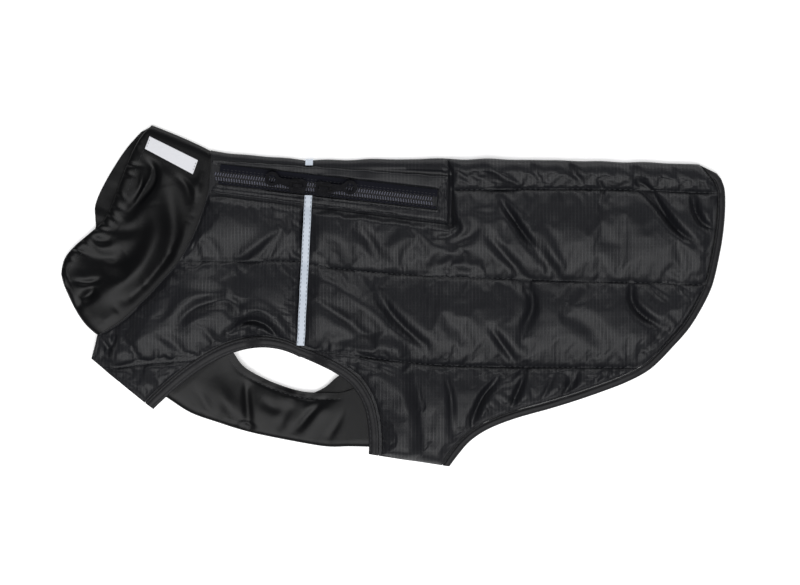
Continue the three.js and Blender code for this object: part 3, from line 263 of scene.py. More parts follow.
# Creases in the cloth: a trough along "path", as wide and deep as said, with a ridge beside it on
# its left (side 1) or right (side -1). A negative depth is a ridge.
Crease = namedtuple("Crease", "path width depth ridge side", defaults=(0.0, 1))
REAR_CREASES = [Crease(*row) for row in [
    ([(72, 65), (83, 50), (95, 33)], 3.6, 5.6, 0.6),
    ([(92, 38), (104, 22), (116, 11)], 5.0, 1.8),
    ([(100, 44), (109, 28), (116, 14)], 4.6, -1.8),
    ([(63, 41), (75, 28), (85, 18), (93, 12)], 4.4, 2.6, 0.4),
    ([(164, 80), (173, 70), (182, 58), (192, 45), (203, 36)], 3.4, 6.4, 1.4),
    ([(190, 36), (196, 26), (199, 16)], 6.0, 1.3),
    ([(203, 68), (205, 57), (210, 49), (219, 44)], 3.4, 5.4, 1.0),
    ([(162, 8), (162, -4), (169, -13), (181, -21)], 3.6, 5.2, 1.0),
    ([(172, 9), (178, 2), (186, -4)], 1.8, 1.6, 0.6),
    ([(190, 10), (194, 5), (199, 0)], 1.6, 1.4, 0.5),
    ([(86, 12), (93, 2), (94, -10), (86, -25)], 4.6, 4.2, 0.8, -1),
    ([(66, -22), (74, -33), (83, -45)], 3.4, 3.2, 1.0),
    ([(-12, 2), (0, -14), (14, -27), (26, -36)], 5.0, 4.8, 1.0),
    ([(-56, 18), (-36, 5), (-14, -12), (6, -28)], 8.0, -3.4),
    ([(-54, -2), (-30, -18), (-10, -34)], 5.6, 2.8),
    ([(22, 46), (36, 37), (50, 40), (60, 47)], 5.0, 2.4),
    ([(20, 19), (44, 21), (70, 17)], 6.0, 3.4),
    ([(-28, 46), (-16, 37), (-8, 24)], 5.6, 2.2),
    ([(-50, 46), (-36, 38), (-26, 22)], 8.0, -2.0),
    ([(12, 44), (2, 34), (0, 22)], 7.0, -1.8),
    ([(36, 60), (44, 47), (38, 41), (26, 38)], 2.4, 2.0, 1.0),
    ([(52, 58), (66, 56), (74, 60)], 4.0, 1.4),
    ([(74, -55), (62, -67), (56, -79), (52, -92)], 3.2, 5.2, 1.4),
    ([(90, -52), (84, -66), (78, -80)], 3.0, 4.4, 1.0),
    ([(34, -52), (39, -68), (40, -92)], 3.2, 2.0, 0.8, -1),
    ([(92, -49), (81, -57), (68, -64)], 2.4, 1.9, 0.6),
    ([(127, -51), (120, -61), (112, -72)], 3.6, 4.2, 0.8),
    ([(145, -49), (138, -57), (131, -63)], 2.2, 1.7, 0.5),
    ([(109, -54), (104, -64), (98, -74)], 2.2, 1.7, 0.5),
    ([(194, -12), (178, -30), (162, -45)], 5.0, 2.6),
    ([(4, -52), (14, -62), (18, -78)], 6.0, 1.4),
    ([(-50, -42), (-22, -46), (4, -54)], 3.2, 2.0, 0.8),
    ([(-54, -37), (-30, -37), (-6, -44)], 2.4, 1.3),
    ([(-18, -64), (-6, -70), (6, -86)], 6.0, 1.5),
    ([(46, 95), (62, 88), (76, 80), (88, 73)], 3.6, -2.4),
    ([(46, 84), (60, 79), (72, 74)], 5.0, 1.8),
    ([(106, 94), (118, 87), (130, 76)], 3.0, 2.2, 1.3),
    ([(22, 95), (36, 88), (52, 78)], 3.2, 1.6, 1.0),
    ([(84, 93), (95, 85), (101, 77)], 2.8, 1.2, 0.8),
    ([(150, 94), (164, 85), (172, 77)], 3.0, 1.4, 0.8),
    ([(184, 92), (192, 84), (196, 77)], 3.0, 1.0, 0.6),
    ([(139, 78), (142, 72), (140, 64)], 1.6, 1.6, 0.4),
    ([(134, 42), (150, 34), (160, 22)], 9.0, 1.3),
    ([(112, -12), (134, -22), (148, -36)], 9.0, 1.4),
    ([(30, -16), (46, -24), (58, -38)], 8.0, 1.3),
    ([(20, -2), (44, -6), (64, -2)], 7.0, 1.2),
]]
YOKE_CREASES = [Crease(*row) for row in [
    ([(-146, -21), (-139, -12), (-128, -6), (-113, -3.5), (-101, -10)], 4.8, 4.6, 0.4, -1),
    ([(-112, -25), (-99, -17), (-87, -19), (-78, -28), (-75, -37)], 3.2, 4.4, 2.0),
    ([(-96, -24), (-88, -27), (-83, -35)], 2.2, 1.6),
    ([(-184, -44), (-170, -22), (-156, -6), (-130, 9), (-106, 4)], 12.0, -1.8),
    ([(-108, 24), (-94, 34), (-78, 46)], 5.0, -2.0),
    ([(-105, 20), (-92, 27), (-79, 37)], 4.4, 1.0),
    ([(-95, 62), (-82, 54), (-66, 52)], 8.0, 1.2),
    ([(-178, -16), (-158, 0), (-146, 15)], 7.0, -1.8),
    ([(-168, -20), (-156, -14), (-148, -4)], 4.0, 1.4),
    ([(-158, -26), (-146, -34), (-142, -42)], 4.4, 1.5),
    ([(-200, -48.5), (-187, -47.6), (-165, -44.6), (-137, -42.5), (-118, -38)], 2.8, 1.8),
    ([(-199, -26), (-194, -34), (-190, -46)], 3.0, 3.4, 1.0),
    ([(-188, -22), (-190, -34), (-197, -42)], 2.8, 2.8, 0.8, -1),
    ([(-182, -26), (-176, -36), (-170, -46)], 4.0, 1.3, 0.8),
    ([(-168, -52), (-158, -58), (-154, -66)], 6.0, 0.9),
    ([(-128, -22), (-118, -31), (-106, -33)], 3.4, 1.6, 0.8),
    ([(-104, -12), (-92, -8), (-80, -12)], 5.0, -1.8),
    ([(-76, -12), (-70, -22), (-70, -32)], 3.4, 1.2),
]]
COLLAR_CREASES = [Crease(*row) for row in [
    ([(-165, 95), (-162.5, 86), (-164, 77), (-172, 66), (-182, 52)], 4.4, 3.8, 0.8),
    ([(-170, 84), (-171, 74), (-177, 62)], 2.4, -1.2),
    ([(-163, 62), (-161, 46), (-167, 28), (-179, 13), (-200, -2)], 8.5, -3.6),
    ([(-153, 74), (-150, 56), (-149, 40), (-154, 22), (-166, 6), (-182, -8)], 7.0, 2.8),
    ([(-146, 84), (-140, 74), (-137, 62)], 4.0, 1.6, 1.0),
    ([(-213, 33), (-202, 27), (-190, 26), (-182, 30)], 8.0, 2.6),
    ([(-216, 10), (-207, 9), (-198, 11)], 2.4, 1.3, 0.6),
    ([(-212, -3), (-207, 0), (-201, 5)], 4.4, 2.8, 0.6),
    ([(-190, 46), (-181, 44), (-172, 46)], 5.0, 1.0),
    ([(-170, 100), (-160, 98), (-150, 90)], 7.0, 0.8),
    ([(-206, 41), (-198, 37), (-190, 38)], 3.4, 1.4, 0.6, -1),
    ([(-196, 18), (-186, 20), (-178, 16)], 8.0, 1.2),
]]
CHEST_CREASES = [Crease(*row) for row in [
    ([(-100, -57), (-99, -72), (-97, -91)], 3.2, 1.6, 0.5, -1),
    ([(-47, -71), (-56, -80), (-66, -92)], 3.0, 1.8, 0.5),
    ([(-28, -70), (-36, -84), (-46, -100)], 3.0, 1.8, 0.6),
    ([(-68, -74), (-74, -82), (-78, -92)], 4.0, 1.0, 0.5),
    ([(-120, -54), (-116, -66), (-106, -84)], 7.0, -2.2),
    ([(-138, -58), (-130, -68), (-124, -80)], 4.0, 1.6, 0.8),
    ([(-90, -70), (-80, -76), (-70, -74)], 5.0, 1.2),
    ([(-108, -89), (-100, -86), (-92, -91)], 2.0, 1.2),
    ([(-20, -72), (-25, -86), (-32, -100)], 3.0, 1.8, 0.8),
    ([(-64, -66), (-48, -70), (-34, -68)], 3.6, 1.0, 0.7, -1),
]]


def smooth(t):
    t = np.clip(t, 0.0, 1.0)
    return t * t * (3 - 2 * t)


def arch(t):
    """A quarter circle's rise from 0 to 1."""
    return np.sqrt(1 - (1 - np.clip(t, 0.0, 1.0)) ** 2)


def mix(a, b, t):
    return a + (b - a) * t


def along_line(p, line):
    """For points (..., 2): the distance to a line of points, signed by its side (left is above 0),
    and the share of the line's length at the nearest place."""
    line = np.asarray(line, float)
    steps = np.linalg.norm(np.diff(line, axis=0), axis=1)
    starts = np.concatenate([[0.0], np.cumsum(steps)])
    best = np.full(p.shape[:-1], np.inf)
    side = np.ones(p.shape[:-1])
    share = np.zeros(p.shape[:-1])
    for k, (a, b) in enumerate(zip(line[:-1], line[1:])):
        d = b - a
        rel = p - a
        t = np.clip((rel @ d) / (d @ d), 0, 1)
        away = np.hypot(rel[..., 0] - t * d[0], rel[..., 1] - t * d[1])
        nearer = away < best
        best = np.where(nearer, away, best)
        side = np.where(nearer, np.sign(d[0] * rel[..., 1] - d[1] * rel[..., 0]), side)
        share = np.where(nearer, (starts[k] + t * steps[k]) / starts[-1], share)
    return best, side, share


def edge_distance(p, line):
    return along_line(p, line)[0]


def nearest(p, lines):
    """The distance to the nearest of some lines of points."""
    return np.min([edge_distance(p, line) for line in lines], axis=0)


def outside(p, outline):
    """How far points lie outside a convex outline. Inside it is 0."""
    corners = np.asarray(outline, float)
    after = np.roll(corners, -1, axis=0)
    turn = np.sign(np.sum(corners[:, 0] * after[:, 1] - corners[:, 1] * after[:, 0]))
    within = np.ones(p.shape[:-1], bool)
    for a, b in zip(corners, after):
        d = b - a
        rel = p - a
        within &= turn * (d[0] * rel[..., 1] - d[1] * rel[..., 0]) >= 0
    away = edge_distance(p, np.vstack([corners, corners[:1]]))
    return np.where(within, 0.0, away)


def crease_height(p, creases):
    """Height that creases add at points: soft troughs with a shoulder, fading at both ends."""
    height = np.zeros(p.shape[:-1])
    for path, width, depth, ridge, side in creases:
        reach = 4.5 * width
        low = np.min(path, axis=0) - reach
        high = np.max(path, axis=0) + reach
        near = np.all((p > low) & (p < high), axis=-1)
        if not near.any():
            continue
        away, hand, share = along_line(p[near], densify(path, 5) if len(path) > 2 else path)
        fade = np.sin(math.pi * np.clip(0.05 + 0.92 * share, 0, 1)) ** 0.8
        trough = -depth * np.exp(-1.5 * (away / width) ** 2)
        offset = (away * hand - side * 1.8 * width) / (1.5 * width)
        height[near] += (trough + ridge * np.exp(-offset ** 2)) * fade
    return height


def ripple(p, length, seed, count=9):
    """Smooth seeded noise from -1 to 1 with waves of about this length."""
    rng = np.random.default_rng(seed)
    angles = rng.uniform(0, math.tau, count)
    lengths = length * rng.uniform(0.7, 1.6, count)
    phases = rng.uniform(0, math.tau, count)
    total = np.zeros(p.shape[:-1])
    for angle, wave, phase in zip(angles, lengths, phases):
        k = math.tau / wave
        total += np.sin(k * (p[..., 0] * math.cos(angle) + p[..., 1] * math.sin(angle)) + phase)
    return total / (0.55 * count)


def stitch_puckers(line, seed, spacing, length, depth, sides=(-1, 1)):
    """Short uneven creases that run off a seam, a few to each side."""
    rng = np.random.default_rng(seed)
    line = np.asarray(line, float)
    steps = np.linalg.norm(np.diff(line, axis=0), axis=1)
    total = steps.sum()
    made = []
    at = rng.uniform(0.2, 1.0) * spacing
    while at < total - spacing * 0.4:
        k = int(np.searchsorted(np.cumsum(steps), at))
        before = at - (np.cumsum(steps)[k] - steps[k])
        d = (line[k + 1] - line[k]) / steps[k]
        start = line[k] + d * before
        side = sides[rng.integers(len(sides))]
        lean = rng.uniform(-0.9, 0.9)
        run = (np.array([-d[1], d[0]]) * side + d * lean) * length * rng.uniform(0.45, 1.3)
        size = rng.uniform(0.35, 1.0)
        made.append(Crease([tuple(start - run * 0.06), tuple(start + run)], 1.1 + 1.1 * size,
                           depth * size, depth * size * 0.5, 1 if rng.uniform() < 0.5 else -1))
        at += spacing * rng.uniform(0.45, 1.7)
    return made


def puckers_along(rows):
    """The puckers of several seams, each row as stitch_puckers takes it."""
    return [crease for row in rows for crease in stitch_puckers(*row)]


def hermite(p, q, m, n, t):
    return ((2 * t**3 - 3 * t**2 + 1) * p + (t**3 - 2 * t**2 + t) * m
            + (3 * t**2 - 2 * t**3) * q + (t**3 - t**2) * n)


def refine_rows(table, steps):
    """Rows between the table's rows, on a smooth curve through each end that keeps its corners."""
    def tangent(side, i, towards):
        here = np.array(getattr(table[i], side), float)
        before = np.array(getattr(table[i - 1], side), float) if i else None
        after = np.array(getattr(table[i + 1], side), float) if i + 1 < len(table) else None
        if before is None or after is None or table[i].bend == side:
            return (after - here) if towards > 0 else (here - before)
        return (after - before) / 2

    rows = [table[0], table[1]]
    for i in range(1, len(table) - 1):
        for k in range(1, steps + 1):
            t = k / steps
            if k == steps:
                rows.append(table[i + 1])
                continue
            ends = [
                tuple(hermite(np.array(getattr(table[i], side)), np.array(getattr(table[i + 1], side)),
                              tangent(side, i, 1), tangent(side, i + 1, -1), t))
                for side in ("front", "back")
            ]
            rows.append(Row(*ends, mix(table[i].bow, table[i + 1].bow, t), None, table[i].hole))
    return rows


def inset_ends(rows, side, width):
    """One end of the rows that are bound, moved in square to the edge that they form."""
    ends = np.array([getattr(row, side) for row in rows], float)
    if width == 0:
        return ends
    others = np.array([getattr(row, "back" if side == "front" else "front") for row in rows], float)
    turn = -1 if side == "front" else 1
    first = next((i for i, row in enumerate(rows) if row.hole), -1) if side == "front" else 0
    moved = ends.copy()
    for i in range(max(first, 0), len(rows)):
        before = ends[max(first, i - 1)]
        after = ends[min(len(rows) - 1, i + 1)]
        normal = turn * np.array([after[1] - before[1], before[0] - after[0]])
        if i in (0, len(rows) - 1):
            normal = others[i] - ends[i]
        elif i == first:
            normal = ends[i - 1] - ends[i]
        moved[i] = ends[i] + normal / np.linalg.norm(normal) * width
    return moved


def densify(points, steps, corners=()):
    """Points between points, on a smooth curve through them that keeps the named corners."""
    points = np.asarray(points, float)
    last = len(points) - 1

    def tangent(i, towards):
        if i in (0, last) or i in corners:
            return (points[i + 1] - points[i]) if towards > 0 else (points[i] - points[i - 1])
        return (points[i + 1] - points[i - 1]) / 2

    made = [points[0]]
    for i in range(last):
        out = tangent(i, 1) if i < last else points[i] - points[i - 1]
        into = tangent(i + 1, -1)
        for k in range(1, steps + 1):
            made.append(hermite(points[i], points[i + 1], out, into, k / steps))
    return np.array(made)


def across(fronts, backs, bows, columns, lean=0.0):
    """A grid (rows, columns, 2) of points between two edges. "bow" lifts the middle of a row."""
    t = np.linspace(0, 1, columns)[None, :, None]
    grid = fronts[:, None, :] * (1 - t) + backs[:, None, :] * t
    t = t[..., 0]
    grid[..., 1] += np.asarray(bows)[:, None] * 4 * t * (1 - t) * (1 + lean * (t - 0.5))
    return grid


def panel_plan(fronts, backs, bows, steps, columns, lean, corners):
    """A grid of points between a panel's edges, with steps between the rows of its table."""
    fronts = densify(fronts[1:], steps, corners)
    backs = densify(backs[1:], steps)
    bows = np.interp(np.arange(len(fronts)) / steps, np.arange(len(bows)), bows)
    return across(fronts, backs, bows, columns, lean)


def fold_faces(brow, crest, angles, thickness, outer_heights, inner_heights):
    """Rows of points round a fold, from its brow out to its crest and back, for its outer and its
    inner face. Each pair of heights is that of the fold's lower and upper side."""
    inner_share = np.maximum(0.1, 1 - thickness / np.linalg.norm(crest - brow, axis=1))
    faces = []
    for share, (low, high) in ((np.ones(len(crest)), outer_heights), (inner_share, inner_heights)):
        rows = []
        for angle in angles:
            height = mix(low, high, 0.5 + 0.5 * math.sin(angle)) * np.ones(len(crest))
            xy = mix(brow, crest, (math.cos(angle) * share)[:, None])
            rows.append(np.column_stack([xy, height]))
        faces.append(np.array(rows))
    return faces


def upsample(grid):
    """Twice as many steps each way, on a smooth surface through the grid's points."""
    def along_rows(g):
        before = np.concatenate([2 * g[:1] - g[1:2], g[:-2]])
        after = np.concatenate([g[2:], 2 * g[-1:] - g[-2:-1]])
        middle = (9 * (g[:-1] + g[1:]) - before - after) / 16
        made = np.empty((2 * len(g) - 1,) + g.shape[1:])
        made[::2] = g
        made[1::2] = middle
        return made
    return np.swapaxes(along_rows(np.swapaxes(along_rows(grid), 0, 1)), 0, 1)


def lay_height(p):
    """Where the upper layer lies: on the lower one, or on a tucked end of the chest panel."""
    cover = [smooth(1 - (outside(p, end) - TUCK_FLAT) / TUCK_SLOPE) for end in TUCKED_ENDS]
    return UPPER_INNER + TUCK_LIFT * np.maximum(*cover)


def channel_loft(p):
    """Share of a channel's loft: none on a stitch line, full in the middle."""
    t = np.clip(nearest(p, STITCH_LINES) / QUILT_REACH, 0, 1)
    return (1 - (1 - t) ** 2) ** 0.82


def lower_outer(p):
    """The lower layer's outer face: on the table, drawn in along its seam and stitch lines."""
    seam = edge_distance(p, [REAR_ROWS[0].front, REAR_ROWS[SEAM_END_ROW].front])
    recess = SEAM_RECESS * smooth(1 - (seam - SEAM_FLAT - 0.2) / 3.6)
    return np.maximum(recess, 0.7 * smooth(1 - nearest(p, STITCH_LINES) / 2.4))


# Meshes

def quad_grid(rows, columns, start=0, ring=False):
    i = np.arange(rows if ring else rows - 1)[:, None]
    j = np.arange(columns - 1)[None, :]
    a = start + i * columns + j
    b = start + ((i + 1) % rows) * columns + j
    return np.stack([a, b, b + 1, a + 1], -1).reshape(-1, 4).tolist()


def edge_fans(fine, coarse):
    """Triangles between a fine row of points and a coarse one that runs beside it."""
    faces = []
    for m in range(len(coarse) - 1):
        for q in range(m * BACKING, (m + 1) * BACKING):
            faces.append((coarse[m], fine[q], fine[q + 1]))
        faces.append((coarse[m], fine[(m + 1) * BACKING], coarse[m + 1]))
    return faces


def mesh_piece(name, points, faces, surface, sharp=50):
    """An object from points in the drawing frame, its faces turned outwards and shaded smooth."""
    mesh = bpy.data.meshes.new(name)
    mesh.from_pydata(((np.asarray(points).reshape(-1, 3) + SHIFT) * MM).tolist(), [], faces)
    work = bmesh.new()
    work.from_mesh(mesh)
    bmesh.ops.recalc_face_normals(work, faces=work.faces)
    work.to_mesh(mesh)
    work.free()
    mesh.update()
    made = bpy.data.objects.new(name, mesh)
    bpy.context.scene.collection.objects.link(made)
    mesh.materials.append(surface)
    mesh.shade_smooth()
    mesh.set_sharp_from_angle(angle=math.radians(sharp))
    return made


def wall(name, outer, inner, surface, ring=False):
    """A closed wall between a fine outer grid and an inner grid with fewer rows and columns."""
    rows, columns = outer.shape[:2]
    small_rows, small_columns = inner.shape[:2]
    base = rows * columns
    faces = quad_grid(rows, columns, 0, ring) + quad_grid(small_rows, small_columns, base, ring)
    fine = np.arange(base).reshape(rows, columns)
    coarse = base + np.arange(small_rows * small_columns).reshape(small_rows, small_columns)
    if ring:
        fine = np.vstack([fine, fine[:1]])
        coarse = np.vstack([coarse, coarse[:1]])
    for end in (0, -1):
        faces += edge_fans(fine[:, end].tolist(), coarse[:, end].tolist())
    if not ring:
        for end in (0, -1):
            faces += edge_fans(fine[end].tolist(), coarse[end].tolist())
    return mesh_piece(name, np.vstack([outer.reshape(-1, 3), inner.reshape(-1, 3)]), faces, surface)


def simulate(grid, held):
    """Blender's cloth on a grid of points, blown up by its padding between the stitches that hold
    it. Returns how far each point moved."""
    rows, columns = grid.shape[:2]
    mesh = bpy.data.meshes.new("padding")
    mesh.from_pydata((grid.reshape(-1, 3) * MM).tolist(), [], quad_grid(rows, columns))
    if mesh.polygons[len(mesh.polygons) // 2].normal.z < 0:
        mesh.flip_normals()
    work = bpy.data.objects.new("padding", mesh)
    bpy.context.scene.collection.objects.link(work)
    group = work.vertex_groups.new(name="held")
    weights = np.round(held.reshape(-1), 2)
    for weight in np.unique(weights):
        if weight > 0:
            group.add(np.flatnonzero(weights == weight).tolist(), float(weight), "REPLACE")
    cloth = work.modifiers.new("Cloth", "CLOTH")
    settings = cloth.settings
    settings.quality = 5
    settings.mass = CLOTH_MASS
    settings.tension_stiffness = CLOTH_STIFFNESS
    settings.compression_stiffness = CLOTH_STIFFNESS
    settings.shear_stiffness = CLOTH_STIFFNESS * 0.4
    settings.bending_stiffness = CLOTH_BENDING
    settings.vertex_group_mass = "held"
    settings.use_pressure = True
    settings.uniform_pressure_force = PADDING_PRESSURE
    settings.shrink_min = -CLOTH_EXCESS
    settings.effector_weights.gravity = 0
    cloth.collision_settings.use_collision = False
    cloth.collision_settings.use_self_collision = False
    cloth.point_cache.frame_start = 1
    cloth.point_cache.frame_end = SIM_FRAMES
    scene = bpy.context.scene
    for number in range(1, SIM_FRAMES + 1):
        scene.frame_set(number)
    settled = work.evaluated_get(bpy.context.evaluated_depsgraph_get())
    found = np.empty(rows * columns * 3, np.float32)
    settled.data.vertices.foreach_get("co", found)
    bpy.data.objects.remove(work)
    bpy.data.meshes.remove(mesh)
    scene.frame_set(1)
    move = found.reshape(rows, columns, 3) / MM - grid
    length = np.linalg.norm(move, axis=-1, keepdims=True)
    return move * np.minimum(1, SIM_REACH / np.maximum(length, 1e-6))


class Heights:
    """The height of the cloth under a place, seen from above."""

    def __init__(self, *objects):
        self.trees = [
            BVHTree.FromPolygons([v.co for v in o.data.vertices], [p.vertices[:] for p in o.data.polygons])
            for o in objects
        ]

    def at(self, x, y, default=UPPER_INNER + STITCHED):
        start = Vector(((x + SHIFT[0]) * MM, (y + SHIFT[1]) * MM, 0.2))
        found = [tree.ray_cast(start, Vector((0, 0, -1)))[0] for tree in self.trees]
        tops = [hit.z / MM for hit in found if hit is not None]
        return max(tops) if tops else default

    def path(self, line, lift, step=1.7):
        """Points at an even step along a line of points, where it lies on the cloth."""
        found = [(x, y, self.at(x, y, None)) for x, y in sampled(line, step)]
        return [(x, y, z + lift) for x, y, z in found if z is not None and z > UPPER_INNER]


# Materials

class Surface:
    """A material that is built up from nodes over its object's own coordinates."""

    def __init__(self, name, specular):
        self.material = bpy.data.materials.new(name)
        self.material.use_nodes = True
        self.nodes = self.material.node_tree.nodes
        self.links = self.material.node_tree.links
        self.shader = self.nodes["Principled BSDF"]
        self.place = self.nodes.new("ShaderNodeTexCoord").outputs["Object"]
        self.shader.inputs["Specular IOR Level"].default_value = specular

    def link(self, output, name):
        self.links.new(output, self.shader.inputs[name])

    def math(self, operation, a, b, c=None):
        node = self.nodes.new("ShaderNodeMath")
        node.operation = operation
        for slot, value in zip(node.inputs, (a, b, c)):
            if isinstance(value, (int, float)):
                slot.default_value = value
            elif value is not None:
                self.links.new(value, slot)
        return node.outputs[0]

    def noise(self, scale, detail):
        node = self.nodes.new("ShaderNodeTexNoise")
        node.inputs["Scale"].default_value = scale
        node.inputs["Detail"].default_value = detail
        self.links.new(self.place, node.inputs["Vector"])
        return node.outputs["Fac"]

    def tint(self, color, spread, share):
        """The colour, from a little darker to a little lighter as the share rises."""
        node = self.nodes.new("ShaderNodeMix")
        node.data_type = "RGBA"
        for name, factor in (("A", 1 - spread), ("B", 1 + spread)):
            node.inputs[name].default_value = (*[c * factor for c in color], 1)
        self.links.new(share, node.inputs["Factor"])
        self.link(node.outputs["Result"], "Base Color")

    def relief(self, height, strength, distance):
        node = self.nodes.new("ShaderNodeBump")
        node.inputs["Strength"].default_value = strength
        node.inputs["Distance"].default_value = distance
        self.links.new(height, node.inputs["Height"])
        self.link(node.outputs["Normal"], "Normal")


def cloth_material(name, color, roughness, weave, sheen=0.0, bump=0.25, grid_pitch=0.0, mottle=0.12,
                   specular=0.5):
    """Woven cloth: fine threads, an optional ripstop grid, slight unevenness and a soft sheen.
    "weave" is the pitch of the threads and "grid_pitch" that of the ripstop, in millimetres."""
    cloth = Surface(name, specular)
    cloth.shader.inputs["Sheen Weight"].default_value = sheen
    cloth.shader.inputs["Sheen Roughness"].default_value = 0.4
    split = cloth.nodes.new("ShaderNodeSeparateXYZ")
    cloth.links.new(cloth.place, split.inputs[0])
    x, y = split.outputs["X"], split.outputs["Y"]

    def threads(axis, pitch, sharpness):
        wave = cloth.math("SINE", cloth.math("MULTIPLY", axis, math.tau / (pitch * MM)), None)
        return cloth.math("POWER", cloth.math("MULTIPLY_ADD", wave, 0.5, 0.5), sharpness)

    share = uneven = cloth.noise(60, 4)
    nap = cloth.math("MULTIPLY", cloth.noise(900, 3), 0.5)
    woven = cloth.math("MAXIMUM", threads(x, weave, 1.0), threads(y, weave, 1.0))
    height = cloth.math("ADD", cloth.math("MULTIPLY", woven, 0.35), nap)
    if grid_pitch:
        bars = cloth.math("MULTIPLY", threads(y, grid_pitch, 6.0), 0.3)
        raised = cloth.math("MAXIMUM", threads(x, grid_pitch, 5.0), bars)
        height = cloth.math("ADD", height, cloth.math("MULTIPLY", raised, 0.7))
        patches = cloth.math("POWER", cloth.math("MULTIPLY", uneven, 1.5), 3.0)
        patchy = cloth.math("MULTIPLY", raised, patches)
        cloth.link(cloth.math("MULTIPLY_ADD", patchy, 0.8 * specular, 0.85 * specular), "Specular IOR Level")
        share = cloth.math("ADD", cloth.math("MULTIPLY", raised, 0.5), cloth.math("MULTIPLY", uneven, 0.7))
    cloth.relief(height, bump, 0.0004)
    cloth.tint(color, mottle, share)
    cloth.link(cloth.math("MULTIPLY_ADD", uneven, 0.12, roughness - 0.06), "Roughness")
    return cloth.material


def plain_material(name, color, roughness, grain=0.02, scale=400, specular=0.5, bump=0.05, glow=0.0):
    """A smooth surface with a fine grain."""
    plain = Surface(name, specular)
    plain.shader.inputs["Emission Color"].default_value = (1, 1, 1, 1)
    plain.shader.inputs["Emission Strength"].default_value = glow
    grains = plain.noise(scale, 4)
    plain.tint(color, grain * 4, grains)
    plain.link(plain.math("MULTIPLY_ADD", grains, 0.16, roughness - 0.08), "Roughness")
    plain.relief(grains, bump, 0.0003)
    return plain.material


SHELL = cloth_material("shell", (0.0060, 0.0063, 0.0080), 0.42, 0.5, sheen=0.02, grid_pitch=2.4,
                       specular=0.22)
SATIN = cloth_material("satin", (0.0014, 0.0015, 0.0019), 0.37, 0.45, sheen=0.0, bump=0.12, specular=0.15)
BINDING = cloth_material("binding", (0.0075, 0.0075, 0.0088), 0.5, 0.7, sheen=0.02, bump=0.35, specular=0.2)
ZIP_CLOTH = cloth_material("zip_cloth", (0.003, 0.0033, 0.0068), 0.55, 0.8, sheen=0.0, bump=0.4,
                           specular=0.07)
THREAD = plain_material("thread", (0.015, 0.016, 0.019), 0.6)
PLASTIC = plain_material("zip_plastic", (0.0015, 0.0015, 0.0028), 0.16, specular=0.4)
TEETH = plain_material("zip_teeth", (0.10, 0.102, 0.135), 0.25)
REFLECTIVE = cloth_material("reflective", (0.41, 0.455, 0.52), 0.4, 0.6, sheen=0.0, bump=0.2, mottle=0.05)
LABEL_CLOTH = cloth_material("label_cloth", (0.6, 0.605, 0.635), 0.7, 0.5, bump=0.3, mottle=0.03)


# Padded panels

Panel = namedtuple("Panel", "outer under rims_front rims_back upper_start object")


